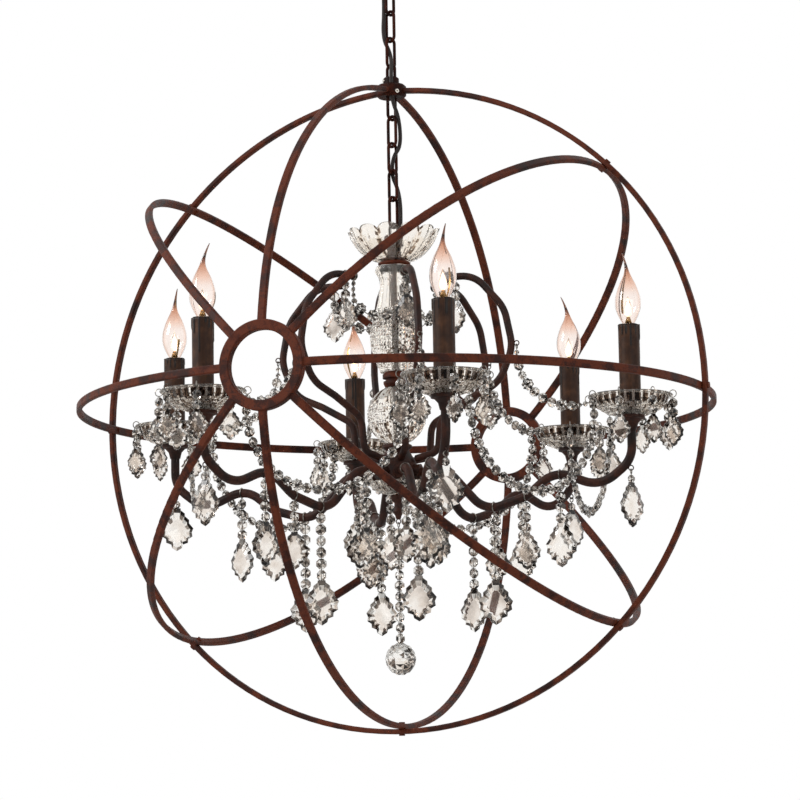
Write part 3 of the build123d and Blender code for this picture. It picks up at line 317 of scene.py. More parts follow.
# the hoops' red brown rust, the arms' darker brown and the chains' brown black
hoop_iron = iron("rusted_waxed_iron", [(0.30, "#180703"), (0.44, "#37150a"), (0.55, "#602b16"),
                                       (0.66, "#431b0f"), (0.80, "#220c06")], 0.50, 0.18)
arm_iron = iron("browned_iron", [(0.30, "#120704"), (0.46, "#27110a"), (0.58, "#3f1f13"),
                                 (0.74, "#1c0b06")], 0.44, 0.22, 22.0)
chain_iron = iron("blackened_iron", [(0.30, "#100402"), (0.46, "#260d06"), (0.58, "#40190c"),
                                     (0.74, "#1c0904")], 0.50, 0.10, 18.0)
# zinc plate: a pale blue-grey, slightly cloudy metal
zinc_plate = plain_finish("zinc_plated_steel", 90.0, 4.0, [(0.3, "#a2a6a9"), (0.7, "#c3c7c9")],
                          0.38, metal=1.0)
# nickel plate: warm bright metal with fine scratches 0.3 mm apart
nickel_steel, tree = start_material("nickel_plated_steel")
nickel_place = add(tree, "ShaderNodeTexCoord").outputs["Object"]
nickel_lines = add(tree, "ShaderNodeTexNoise", {"Vector": nickel_place, "Scale": 3000.0,
                                                "Detail": 1.0})
nickel_dull = add(tree, "ShaderNodeMapRange", {"Value": nickel_lines.outputs[0],
                                               "To Min": 0.18, "To Max": 0.4})
close(tree, add(tree, "ShaderNodeBsdfPrincipled", {"Base Color": linear("#c9c3ba"),
                                                   "Metallic": 1.0,
                                                   "Roughness": nickel_dull.outputs[0]}))

finishes = {
    hoop_iron: ["ceiling_canopy", "ring_front", "ring_back", "cross_hoop",
                "upright_bars_upper", "upright_bar_lower", "level_bars",
                "tilt_bar_a_upper", "tilt_bar_a_lower", "tilt_bar_b_upper", "tilt_bar_b_lower",
                "crossing_rivets", "top_collar", "middle_collar"],
    arm_iron: ["stem_eye", "stem_tube", "ball_disc", "arm_hub", "bottom_finial", "scroll_arms",
               "upper_scrolls", "candle_cups"],
    # the top hub takes this darker iron as painted shade, for the top of the lamp that hangs in less light
    chain_iron: ["canopy_loop", "upper_link_1", "upper_link_2", "upper_link_3", "top_hub",
                 "hub_eyes", "inner_link_1", "inner_link_2", "inner_link_3", "inner_link_4"],
    zinc_plate: ["mounting_bracket"],
    nickel_steel: ["canopy_screws", "hub_screws"],
}
for material, nodes in finishes.items():
    for node in nodes:
        for place_on_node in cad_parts[node].material_slots:
            place_on_node.material = material

# ---- Glass of the column: top bowl, vase, ball and bottom dish ----
# Pressed lead glass with cut flutes and a hobnail of small pyramids. Each cut face catches the
# room differently, so the faces carry a tone from dark to bright. The vase and the ball are drawn
# solid round the stem, because thin double walls would turn them grey.


def cut_glass(name, stops, painted_edge_shade, clear, polish, cloud, index):
    """Clear cut glass: each face carries a painted tone of reflected light and shade, and its edges get a
    painted dark reflection where they are seen edge on.
    """
    material, tree = start_material(name)
    facet_painted_light = add(tree, "ShaderNodeAttribute", attribute_name="tone").outputs["Fac"]
    # a soft cloud of painted refraction, as wide as the blur of the room behind the glass
    depth = add(tree, "ShaderNodeTexNoise", {
        "Vector": add(tree, "ShaderNodeTexCoord").outputs["Object"], "Scale": 1 / (cloud * mm),
        "Detail": 2.0})
    split = add(tree, "ShaderNodeMath", {0: depth.outputs[0], 1: 0.5, 2: -0.25},
                operation="MULTIPLY_ADD")
    tone = add(tree, "ShaderNodeMath", {0: facet_painted_light, 1: split.outputs[0]}, operation="ADD")
    colour = add(tree, "ShaderNodeValToRGB", {"Fac": tone.outputs[0]}, stops=stops)
    # painted dark reflection along the edges, where the glass is seen edge on
    facing = add(tree, "ShaderNodeLayerWeight", {"Blend": 0.5}).outputs["Facing"]
    rim = add(tree, "ShaderNodeMapRange", {"Value": facing, "From Min": 0.84, "From Max": 1.0,
                                           "To Max": 0.8})
    shade = add(tree, "ShaderNodeMix", {0: rim.outputs[0], 6: colour.outputs[0],
                                        7: linear(painted_edge_shade)}, data_type="RGBA")
    close(tree, add(tree, "ShaderNodeBsdfPrincipled", {
        "Base Color": shade.outputs[2], "Roughness": polish, "IOR": index,
        "Transmission Weight": clear}))
    return material


# pressed glass: clear and warm, with painted brown black shade in its grooves; its low index keeps the white
# room in it
pressed_glass = cut_glass("pressed_lead_glass",
                          [(0.0, "#33241a"), (0.09, "#a38973"), (0.16, "#fff4e6"),
                           (0.5, "#fffaf3")], "#6b5344", 0.90, 0.04, 5.0, 1.22)
luck = Random(11)


def glass_start():
    """An empty mesh whose faces can carry a tone."""
    shape = bmesh.new()
    shape.faces.layers.float.new("tone")
    return shape


def put(name, shape, body, materials, smooth=False):
    """Makes a finished shape a piece of the lamp that moves with a body."""
    mesh = bpy.data.meshes.new(name)
    shape.to_mesh(mesh)
    shape.free()
    for polygon in mesh.polygons:
        polygon.use_smooth = smooth
    for material in materials:
        mesh.materials.append(material)
    made = bpy.data.objects.new(name, mesh)
    bpy.context.scene.collection.objects.link(made)
    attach(made, body)
    return made


def turned(shape, section, steps, x=0.0):
    """Spins a closed half section of (radius, height) about the upright axis at x."""
    points = [shape.verts.new(((x + r) * mm, 0, z * mm)) for r, z in section]
    sides = [shape.edges.new(pair) for pair in zip(points, points[1:] + points[:1])]
    before = len(shape.verts) - len(points)
    bmesh.ops.spin(shape, geom=points + sides, cent=(x * mm, 0, 0), axis=(0, 0, 1), angle=2 * pi,
                   steps=steps, use_merge=True)
    shape.verts.ensure_lookup_table()
    made = shape.verts[before:]
    bmesh.ops.remove_doubles(shape, verts=made, dist=0.00001)
    shape.verts.ensure_lookup_table()
    bmesh.ops.recalc_face_normals(shape, faces=shape.faces[:])
    return shape.verts[before:]


def rounded(section, parts):
    """The same line with more points, on a smooth curve through the given ones."""
    line = []
    ends = [section[0]] + section + [section[-1]]
    for a, b, c, d in zip(ends, ends[1:], ends[2:], ends[3:]):
        for step in range(parts):
            t = step / parts
            line.append(tuple(0.5 * (2 * q + (r - p) * t + (2 * p - 5 * q + 4 * r - s) * t * t
                                     + (3 * q - p - 3 * r + s) * t ** 3)
                              for p, q, r, s in zip(a, b, c, d)))
    return line + [section[-1]]


def angle_of(spot, x=0.0):
    """The direction in which a point lies from the upright axis at x, as a share of a turn."""
    return (atan2(spot.y, spot.x - x * mm) / (2 * pi)) % 1.0


def push_out(vertex, distance, x=0.0):
    """Moves a point away from the upright axis at x."""
    out = Vector((vertex.co.x - x * mm, vertex.co.y, 0))
    if out.length > 1e-6:
        vertex.co += out.normalized() * distance * mm


def settle(place):
    """Starts luck anew from a place, so that a face gets the same tone in every run."""
    luck.seed(str([round(10 * c / mm) for c in place]))


def set_tones(shape, tone_of):
    """Gives each face its tone, which a function works out from the face's middle."""
    layer = shape.faces.layers.float["tone"]
    for face in shape.faces:
        settle(face.calc_center_median())
        face[layer] = tone_of(face.calc_center_median())


def faces_outward(face):
    """Whether a face looks away from the upright axis."""
    return face.normal.dot(Vector((*face.calc_center_median().xy, 0))) > 0


def hobnail(shape, faces, rise):
    """Cuts faces into pyramids, whose sides get painted light: brighter the more they face a lamp above left,
    with a random step.
    """
    made = bmesh.ops.poke(shape, faces=faces, offset=rise * mm)["faces"]
    layer = shape.faces.layers.float["tone"]
    # painted light: the direction of a lamp above left, towards which the pyramids' sides are painted brighter
    lamp = Vector((-0.5, -0.5, 0.7))
    for face in made:
        face.normal_update()
        settle(face.calc_center_median())
        face[layer] = 0.5 + 0.5 * face.normal.dot(lamp) + luck.choice((-0.6, 0.0, 0.1, 0.2, 0.3))


# what a cut surface gives up in depth, so that its pyramids stay within the blank
hobnail_room = 0.8

# Top bowl: twelve petals, each with a rib down its middle
bowl_bottom, bowl_rim, petals = -406.7, -366.7, 12
section = (rounded([(4.8, bowl_bottom), (20, bowl_bottom), (36, bowl_bottom + 7),
                    (50, bowl_bottom + 22), (58, bowl_rim)], 4)
           + rounded([(55, bowl_rim + 0.2), (47, bowl_bottom + 23.5), (34.5, bowl_bottom + 10.5),
                      (20, bowl_bottom + 4), (4.8, bowl_bottom + 4)], 3))
shape = glass_start()
for vertex in turned(shape, section, petals * 8):
    across = angle_of(vertex.co) * petals % 1.0
    height = (vertex.co.z / mm - bowl_bottom) / (bowl_rim - bowl_bottom)
    valley = abs(2 * across - 1) ** 3
    rib = max(0.0, 1 - abs(across - 0.5) * 8)
    push_out(vertex, (rib * 0.9 - valley * 3.6) * max(0.0, height) ** 0.7)
    vertex.co.z -= valley * 6.5 * max(0.0, height) ** 3 * mm


def bowl_tone(middle):
    """Painted shade along the petals' valleys, and clear between them."""
    across = angle_of(middle) * petals % 1.0
    return (0.12 if abs(2 * across - 1) > 0.82 else 0.62) + luck.uniform(-0.25, 0.3)


set_tones(shape, bowl_tone)
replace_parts(put("cut_top_bowl", shape, "chandelier", [pressed_glass]),
            "top_bowl")

# Vase: long flutes down its neck and a hobnail over its belly, between two heights over its foot
vase_foot, vase_flutes = -548.2, 12
belly_low, belly_high = 4, 78
outline = rounded([(20, 0), (22, 5), (28.5, 20), (32.5, 42), (29.5, 62), (23, 86), (19, 108),
                   (20, 120), (24.5, 128.5), (23.5, 134.5)], 4)
section = ([(4.8, vase_foot)] + [(r, vase_foot + h) for r, h in outline]
           + [(4.8, vase_foot + 134.5)])
shape = glass_start()
for vertex in turned(shape, section, vase_flutes * 4):
    height = vertex.co.z / mm - vase_foot
    if vertex.co.xy.length < 17 * mm or height < belly_low:
        continue
    if height > belly_high:
        push_out(vertex, -1.5 * abs(2 * (angle_of(vertex.co) * vase_flutes % 1.0) - 1) ** 2)
    else:
        push_out(vertex, -hobnail_room)


def vase_tone(middle):
    """The neck's flutes get painted shade between their ribs; the belly glitters with painted light on its
    hobnail.
    """
    if middle.z / mm - vase_foot > belly_high:
        groove = abs(2 * (angle_of(middle) * vase_flutes % 1.0) - 1)
        return (0.75 - 0.6 * groove) + luck.uniform(-0.15, 0.2)
    return 0.6


set_tones(shape, vase_tone)
hobnail(shape, [face for face in shape.faces
                if belly_low < face.calc_center_median().z / mm - vase_foot < belly_high
                and faces_outward(face)], hobnail_room)
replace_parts(put("cut_vase", shape, "chandelier", [pressed_glass]),
            "column_vase")

# Ball: a squat urn with petals round its shoulders and a hobnail belt
ball_middle, ball_radius, ball_leaves, belt = -603.2, 37.5, 12, 12
ball_end, ball_rows = 73.7, 22
outline = [(ball_radius * cos(a), ball_radius * sin(a))
           for a in [radians(ball_end * (2 * i / ball_rows - 1)) for i in range(ball_rows + 1)]]
section = ([(4.8, ball_middle - 36)] + [(r, ball_middle + h) for r, h in outline]
           + [(4.8, ball_middle + 36)])
shape = glass_start()
for vertex in turned(shape, section, ball_leaves * 5):
    height = vertex.co.z / mm - ball_middle
    if vertex.co.xy.length > 12 * mm:
        valley = abs(2 * (angle_of(vertex.co) * ball_leaves % 1.0) - 1) ** 3
        push_out(vertex, -1.6 * valley if abs(height) > belt else -hobnail_room)


def ball_tone(middle):
    """Painted shade between the leaves; the belt glitters with painted light on its hobnail."""
    if abs(middle.z / mm - ball_middle) > belt:
        across = angle_of(middle) * ball_leaves % 1.0
        return (0.1 if abs(2 * across - 1) > 0.75 else 0.7) + luck.uniform(-0.25, 0.3)
    return 0.6


set_tones(shape, ball_tone)
hobnail(shape, [face for face in shape.faces
                if abs(face.calc_center_median().z / mm - ball_middle) < belt
                and faces_outward(face)], 0.7)
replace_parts(put("cut_ball", shape, "chandelier", [pressed_glass]),
            "glass_ball")

# Bottom dish: a shallow fluted saucer under the hub
dish_bottom, dish_flutes = -703.7, 24
section = (rounded([(4.8, dish_bottom), (12, dish_bottom), (24, dish_bottom + 4),
                    (33, dish_bottom + 10), (37, dish_bottom + 16)], 3)
           + rounded([(33.6, dish_bottom + 16), (29.5, dish_bottom + 11.5),
                      (22.5, dish_bottom + 7.5), (15, dish_bottom + 5),
                      (4.8, dish_bottom + 5)], 3))
shape = glass_start()
for vertex in turned(shape, section, dish_flutes * 4):
    if vertex.co.z / mm > dish_bottom + 5.5:
        across = angle_of(vertex.co) * dish_flutes % 1.0
        push_out(vertex, -1.1 * abs(2 * across - 1) ** 2)
# painted shade in the grooves between the flutes, over random tones
set_tones(shape, lambda middle: 0.65 + luck.uniform(-0.3, 0.3)
          - 0.4 * (abs(2 * (angle_of(middle) * dish_flutes % 1.0) - 1) > 0.7))
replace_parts(put("cut_bottom_dish", shape, "chandelier", [pressed_glass]),
            "bottom_dish")

# ---- Candle pans ----
# Six pressed glass saucers that catch the wax. A fluted band stands under the flat lip, over a
# hobnail bowl. The lip is drilled for the crystals' rings, and a nipple through the floor holds it.

first_arm = radians(-56.6)
candle_ring = 303.0
pan_foot, pan_rim, pan_flutes = -622.2, -597.2, 28
# heights over the foot: the fluted band's lower and upper edge
band_low, band_high = 13, 22


def only_verts(made):
    """The points among the pieces that an operator made."""
    return [item for item in made if isinstance(item, bmesh.types.BMVert)]


def at_each_arm(shape):
    """Repeats what was made for an arm along x at the six arms."""
    one = shape.verts[:] + shape.edges[:] + shape.faces[:]
    for index in range(1, 6):
        made = bmesh.ops.duplicate(shape, geom=one)["geom"]
        bmesh.ops.rotate(shape, cent=(0, 0, 0), matrix=Matrix.Rotation(index * pi / 3, 3, "Z"),
                         verts=only_verts(made))
    bmesh.ops.rotate(shape, cent=(0, 0, 0), matrix=Matrix.Rotation(first_arm, 3, "Z"),
                     verts=shape.verts[:])


section = ([(5.2, pan_foot), (17, pan_foot), (23, pan_foot + 1.6), (29, pan_foot + 4.0),
            (34, pan_foot + 6.2), (38.5, pan_foot + 9.0), (42.5, pan_foot + 12.4),
            (44.8, pan_foot + 14.0), (46.2, pan_foot + 18.0), (47.0, pan_foot + 21.6),
            (51.3, pan_foot + 22.3), (52.0, pan_foot + 23.6), (51.2, pan_rim), (43.6, pan_rim),
            (41.5, pan_rim - 8), (38.4, pan_rim - 12.5), (28, pan_rim - 17.5),
            (19, pan_rim - 20), (5.2, pan_rim - 20)])
shape = glass_start()
for vertex in turned(shape, section, pan_flutes * 3, candle_ring):
    height = vertex.co.z / mm - pan_foot
    reach = Vector((vertex.co.x - candle_ring * mm, vertex.co.y)).length / mm
    across = angle_of(vertex.co, candle_ring)
    if band_low < height < band_high and reach > 43.5:
        push_out(vertex, -1.5 * abs(2 * (across * pan_flutes % 1.0) - 1), candle_ring)
    elif height > band_high + 0.5 and reach > 50:
        push_out(vertex, -0.7 * abs(2 * (across * pan_flutes / 2 % 1.0) - 1) ** 3, candle_ring)


def pan_tone(middle):
    """Painted shade in the grooves between the band's flutes, painted glitter in the bowl, a bright lip."""
    height = middle.z / mm - pan_foot
    if height > band_high - 0.2:
        return 0.8 + luck.uniform(-0.3, 0.2)
    if height > band_low:
        groove = abs(2 * (angle_of(middle, candle_ring) * pan_flutes % 1.0) - 1)
        return 0.85 - 0.95 * (groove > 0.6) + luck.uniform(-0.2, 0.2)
    return 0.6


set_tones(shape, pan_tone)
hobnail(shape, [face for face in shape.faces
                if face.normal.z < -0.2 and pan_foot + 0.8 < face.calc_center_median().z / mm
                < pan_foot + band_low], 1.0)
at_each_arm(shape)
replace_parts(put("cut_candle_pans", shape, "chandelier", [pressed_glass]),
            "candle_pans")

# ---- Candle sleeves and lamp holders ----
# Six card tubes dipped in dark wax, whose drips run down from an uneven rim. Each slips over a
# phenolic lamp holder that stands on the pan.

sleeve_foot, sleeve_rim, sleeve_radius = -617.2, -510.2, 13.0
run_count, sleeve_steps, rows, run_tail, rim_swell = 12, 120, 36, 5, 5
# wax: dull dark umber with paler bloom, its drips almost black and glossier
dark_wax, tree = start_material("dark_dripped_wax")
place = add(tree, "ShaderNodeTexCoord").outputs["Object"]
drip = add(tree, "ShaderNodeAttribute", attribute_name="drip").outputs["Fac"]
bloom = add(tree, "ShaderNodeTexNoise", {"Vector": place, "Scale": 1 / (14 * mm), "Detail": 5.0})
streak_place = add(tree, "ShaderNodeMapping", {"Vector": place, "Scale": (1, 1, 0.12)})
streaks = add(tree, "ShaderNodeTexNoise", {"Vector": streak_place.outputs[0],
                                           "Scale": 1 / (3 * mm), "Detail": 3.0})
wax_mix = add(tree, "ShaderNodeMath", {
    0: streaks.outputs[0], 1: 0.25,
    2: add(tree, "ShaderNodeMath", {0: bloom.outputs[0], 1: 0.75},
           operation="MULTIPLY").outputs[0]}, operation="MULTIPLY_ADD")
wax_colour = add(tree, "ShaderNodeValToRGB", {"Fac": wax_mix.outputs[0]},
                 stops=[(0.36, "#2a160b"), (0.5, "#3b2314"), (0.64, "#4f321f")])
with_drips = add(tree, "ShaderNodeMix", {0: drip, 6: wax_colour.outputs[0],
                                         7: linear("#170f0b")}, data_type="RGBA")
wax_dull = add(tree, "ShaderNodeMapRange", {"Value": drip, "To Min": 0.5, "To Max": 0.3})
wax_bump = add(tree, "ShaderNodeBump", {"Height": streaks.outputs[0], "Strength": 0.2,
                                        "Distance": 0.0006})
close(tree, add(tree, "ShaderNodeBsdfPrincipled", {
    "Base Color": with_drips.outputs[2], "Roughness": wax_dull.outputs[0],
    "Specular IOR Level": 0.2, "Normal": wax_bump.outputs[0]}))

section = ([(sleeve_radius, sleeve_foot + (sleeve_rim - sleeve_foot) * i / rows)
            for i in range(rows + 1)]
           + [(sleeve_radius - 1.2, sleeve_rim), (sleeve_radius - 1.2, sleeve_foot)])
shape = bmesh.new()
luck = Random(5)
# each run: its place round the sleeve, its length, its width as a share of a turn, and its depth
runs = [((i + luck.uniform(-0.3, 0.3)) / run_count, luck.choice((9, 14, 20, 30, 44)),
         luck.uniform(0.014, 0.024), luck.uniform(0.7, 1.2)) for i in range(run_count)]
drip_marks = shape.verts.layers.float.new("drip")
for vertex in turned(shape, section, sleeve_steps, candle_ring):
    across = angle_of(vertex.co, candle_ring)
    below = sleeve_rim - vertex.co.z / mm
    reach = Vector((vertex.co.x - candle_ring * mm, vertex.co.y)).length / mm
    if reach < sleeve_radius - 0.5:
        continue
    swell = 0.0
    for centre, length, width, depth in runs:
        near = abs((across - centre + 0.5) % 1.0 - 0.5) / width
        if near < 1 and below < length:
            past = (below - length + run_tail) / run_tail
            tail = 1.0 if past < 0 else 1.25 * (1 - past ** 2)
            swell = max(swell, depth * sqrt(1 - near ** 2) * max(0.0, tail))
    if below < rim_swell:
        swell = max(swell, 0.45 * (1 - below / rim_swell) + 0.12 * sin(across * 2 * pi * 7))
    push_out(vertex, swell, candle_ring)
    vertex[drip_marks] = min(1.0, swell * 1.5)
    if below < 1:
        vertex.co.z += 0.3 * mm * sin(across * 2 * pi * 5)
at_each_arm(shape)
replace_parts(put("dripped_sleeves", shape, "chandelier", [dark_wax], True),
            "candle_sleeves")

# phenolic resin: dark, hard and half shiny, with a faint flow mark
phenolic = plain_finish("moulded_phenolic", 120.0, 3.0, [(0.3, "#17130f"), (0.7, "#26201b")],
                        0.34)
for place_on_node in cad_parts["lamp_sockets"].material_slots:
    place_on_node.material = phenolic

# ---- Bulbs ----
# Six flame-tipped lamps: a thin blown envelope with a bent tail, tinted amber towards its tip, a
# brass stem with a lit coil, and a threaded brass cap that screws into the holder.

cap_foot, glass_foot = -533.2, -509.2
# blown glass: clear, warmer where the wall is seen edge on and along the tail
amber_glass, tree = start_material("blown_amber_glass")
place = add(tree, "ShaderNodeTexCoord").outputs["Object"]
height = add(tree, "ShaderNodeSeparateXYZ", {"Vector": place}).outputs["Z"]
up_tail = add(tree, "ShaderNodeMapRange", {"Value": height, "From Min": -0.485,
                                           "From Max": -0.435})
edge = add(tree, "ShaderNodeLayerWeight", {"Blend": 0.4})
warmth = add(tree, "ShaderNodeMath", {0: up_tail.outputs[0], 1: edge.outputs["Facing"]},
             operation="MAXIMUM")
glass_colour = add(tree, "ShaderNodeValToRGB", {"Fac": warmth.outputs[0]},
                   stops=[(0.25, "#fff8f4"), (0.5, "#f9e3d7"), (0.78, "#e5c0ab"),
                          (1.0, "#7d5644")])
close(tree, add(tree, "ShaderNodeBsdfPrincipled", {
    "Base Color": glass_colour.outputs[0], "Roughness": 0.03, "IOR": 1.47,
    "Transmission Weight": 1.0}))
# glowing coil: warm white, its light a little uneven along the wire
lit_filament, tree = start_material("lit_filament")
glow_grain = add(tree, "ShaderNodeTexNoise", {
    "Vector": add(tree, "ShaderNodeTexCoord").outputs["Object"], "Scale": 400.0})
glow_colour = add(tree, "ShaderNodeValToRGB", {"Fac": glow_grain.outputs[0]},
                  stops=[(0.3, "#ffe9c8"), (0.7, "#fff8ec")])
close(tree, add(tree, "ShaderNodeBsdfPrincipled", {
    "Base Color": glow_colour.outputs[0], "Roughness": 0.5,
    "Emission Color": glow_colour.outputs[0], "Emission Strength": 1.4}))
# rolled brass: yellow metal, dulled in the thread
brass_cap = plain_finish("brass_thread", 500.0, 2.0, [(0.3, "#8d7048"), (0.7, "#b08f5e")],
                         0.34, metal=1.0)


def made_of(shape, before, material_index):
    """Gives the faces made since then one of the piece's materials."""
    shape.faces.ensure_lookup_table()
    for face in shape.faces[before:]:
        face.material_index = material_index


def arm_turn(index):
    """The turn that takes the first direction along x to one arm's."""
    return Matrix.Rotation(first_arm + index * pi / 3, 3, "Z")


# the envelope's wall outside, from the cap to the tip of the tail, which bends sideways
envelope = rounded([(7.2, 0), (8, 2), (10.2, 6), (13, 12), (15.4, 19), (16, 26), (15.3, 34),
                    (13.0, 42), (10, 50), (7.0, 56), (4.7, 61), (3.1, 66), (2.1, 72), (1.4, 79),
                    (0.9, 86), (0.45, 90)], 2)
bulb_height, tail_foot, tail_bend, tip_turn = 90, 58, 9.0, 140
ridges, ridge_pitch = 6, 3
for index in range(6):
    shape = bmesh.new()
    glass_line = [(r, glass_foot + h) for r, h in envelope + [(0, bulb_height)]]
    inner_line = [(r * 0.93, glass_foot + h)
                  for r, h in [(0, bulb_height - 10)] + envelope[-7::-1]]
    for vertex in turned(shape, glass_line + inner_line, 32):
        above = (vertex.co.z / mm - glass_foot - tail_foot) / (bulb_height - tail_foot)
        if above > 0:
            vertex.co.x += tail_bend * above ** 1.8 * mm
    # the threaded cap, and the stem on it
    before = len(shape.faces)
    cap = [(0, cap_foot), (4, cap_foot)]
    for ridge in range(ridges):
        cap += [(6.4, cap_foot + 4 + ridge * ridge_pitch),
                (7.0, cap_foot + 5.5 + ridge * ridge_pitch)]
    turned(shape, cap + [(7.0, glass_foot), (0, glass_foot)], 24)
    turned(shape, [(0, glass_foot + 1), (4.6, glass_foot + 1), (2.2, glass_foot + 9),
                   (0, glass_foot + 10)], 12)
    made_of(shape, before, 1)
    # a drop of glass round the glowing coil
    turned(shape, rounded([(0, glass_foot + 9), (4.0, glass_foot + 12), (4.9, glass_foot + 17),
                           (3.4, glass_foot + 25), (1.3, glass_foot + 32),
                           (0, glass_foot + 35)], 2), 16)
    before = len(shape.faces)
    turned(shape, rounded([(0, glass_foot + 10), (2.6, glass_foot + 13), (3.3, glass_foot + 17),
                           (2.0, glass_foot + 23), (0.7, glass_foot + 28),
                           (0, glass_foot + 31)], 2), 16)
    made_of(shape, before, 2)
    bmesh.ops.rotate(shape, cent=(0, 0, 0), verts=shape.verts[:],
                     matrix=arm_turn(index) @ Matrix.Rotation(radians(tip_turn), 3, "Z"))
    bmesh.ops.translate(shape, vec=arm_turn(index) @ Vector((candle_ring * mm, 0, 0)),
                        verts=shape.verts[:])
    number = str(index + 1)
    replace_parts(put("flame_bulb_" + number, shape, "bulb_" + number,
                    [amber_glass, brass_cap, lit_filament], True),
                "bulb_" + number)

# ---- Crystals: beads, cut plates and rosettes on wire ----
# Machine-cut lead crystal. Beads are threaded on nickel wire, plates hang by a ring through their
# top, and the flat rosettes are strung face on. Their facets carry painted reflections from clear to black.

# cut crystal: clear bright facets beside painted reflections in grey and black, a little warm
crystal = cut_glass("cut_lead_crystal",
                    [(0.0, "#0d0a08"), (0.16, "#4b3e35"), (0.32, "#d3c3b5"), (0.46, "#fbf2e8"),
                     (0.62, "#fffdf9")], "#241d19", 0.90, 0.04, 18.0, 1.42)
# drawn nickel wire: bright, with a dark tarnish every few millimetres
pin_wire = plain_finish("nickel_wire", 250.0, 2.0, [(0.35, "#4a4540"), (0.65, "#a8a29a")],
                        0.3, metal=1.0)
luck = Random(23)
# painted reflections for the buttons' facets, random tones from black to clear
button_tones = (0.0, 0.06, 0.22, 0.4, 0.55, 0.75, 0.9, 1.0)


def fresh_tones(shape, before, choices):
    """Gives the faces made since then a tone drawn from the choices."""
    layer = shape.faces.layers.float["tone"]
    shape.faces.ensure_lookup_table()
    for face in shape.faces[before:]:
        face[layer] = luck.choice(choices)


def octagon(shape, spot, along, facing, size):
    """A flat eight-sided button, threaded along a direction and turned a little about it."""
    before = len(shape.faces)
    front = Matrix.Rotation(luck.uniform(-0.6, 0.6), 3, along) @ facing
    lie = Matrix((along.cross(front), along, front)).transposed().to_4x4()
    bmesh.ops.create_uvsphere(shape, u_segments=8, v_segments=4, radius=size / 2 * mm,
                              matrix=Matrix.Translation(spot) @ lie
                              @ Matrix.Diagonal((1, 1, 0.66, 1)) @ Matrix.Rotation(pi / 8, 4, "Z"))
    fresh_tones(shape, before, button_tones)


button_pitch = 13.0


def straight_pin(shape, top, length, wire=1.2):
    """A length of wire hung down from a point."""
    before = len(shape.faces)
    bmesh.ops.create_cone(shape, segments=6, radius1=wire / 2 * mm, radius2=wire / 2 * mm,
                          depth=length * mm, cap_ends=True,
                          matrix=Matrix.Translation(top - Vector((0, 0, length / 2)) * mm))
    made_of(shape, before, 1)


def wire_ring(shape, centre, normal, radius, wire=1.4):
    """A closed ring of round wire about a direction."""
    before = len(shape.faces)
    across = normal.orthogonal().normalized()
    lie = Matrix((across, normal, across.cross(normal))).transposed().to_4x4()
    start = bmesh.ops.create_circle(
        shape, segments=6, radius=wire / 2 * mm,
        matrix=Matrix.Translation(centre + across * radius * mm) @ lie)["verts"]
    edges = list(dict.fromkeys(e for v in start for e in v.link_edges))
    bmesh.ops.spin(shape, geom=start + edges, cent=centre, axis=normal, angle=2 * pi,
                   steps=14, use_merge=True)
    made_of(shape, before, 1)
    bmesh.ops.recalc_face_normals(shape, faces=shape.faces[before:])


def strand(shape, top, drop):
    """Buttons down a pin from a point to its end below, which it gives."""
    count = max(1, round((drop - 1) / button_pitch))
    pitch = (drop - 1) / count
    for index in range(count):
        spot = top - Vector((0, 0, 1 + pitch * (index + 0.5))) * mm
        octagon(shape, spot, Vector((0, 0, 1)), view_near, min(pitch * 1.03, 14.0))
    straight_pin(shape, top, drop)
    return top - Vector((0, 0, drop)) * mm


# half a leaf plate: its points and the hollows between them, as shares of its width and height
leaf = [(0.11, 0.0), (0.12, -0.05), (0.24, -0.12), (0.25, -0.19), (0.37, -0.27), (0.37, -0.35),
        (0.50, -0.47), (0.45, -0.56), (0.47, -0.66), (0.34, -0.72), (0.33, -0.81), (0.18, -0.85),
        (0.15, -0.93)]


def pendant(shape, top, height, thickness, facing):
    """A leaf-shaped plate, hung from a point: a cut rim round a ring of facets and a table,
    on each side, whose faces carry painted reflections from black to clear, grey on the front table."""
    width = 0.77 * height
    line = leaf + [(0.0, -1.0)] + [(-u, v) for u, v in reversed(leaf)]
    side = Vector((0, 0, 1)).cross(facing).normalized()
    rim = thickness * 0.2
    layer = shape.faces.layers.float["tone"]
    before = len(shape.faces)
    back = shape.faces.new([shape.verts.new(
        top + (side * (u * width) + Vector((0, 0, v * height)) - facing * rim / 2) * mm)
        for u, v in line])
    made = bmesh.ops.extrude_face_region(shape, geom=[back], use_keep_orig=True)["geom"]
    bmesh.ops.translate(shape, vec=facing * rim * mm, verts=only_verts(made))
    fresh_tones(shape, before, (0.0, 0.1, 0.9))
    front = [item for item in made if isinstance(item, bmesh.types.BMFace)][0]
    heart = top - Vector((0, 0, 0.56 * height)) * mm
    for face, outward, inner in ((front, facing, (0.12, 0.28, 0.40, 0.55, 0.75)),
                                 (back, -facing, (0.5, 0.6))):
        for shrink, level, choices in ((0.80, 0.30, (0.0, 0.0, 0.1, 0.3, 0.8, 1.0)),
                                       (0.74, 0.50, inner)):
            start = len(shape.faces)
            face = bmesh.ops.extrude_discrete_faces(shape, faces=[face])["faces"][0]
            bmesh.ops.scale(shape, vec=(shrink,) * 3, space=Matrix.Translation(-heart),
                            verts=face.verts[:])
            depth = (face.verts[0].co - heart).dot(outward)
            bmesh.ops.translate(shape, vec=outward * (thickness * level * mm - depth),
                                verts=face.verts[:])
            fresh_tones(shape, start, choices)
            face[layer] = luck.choice((0.28, 0.34, 0.4, 0.46)) if outward == facing else 0.6


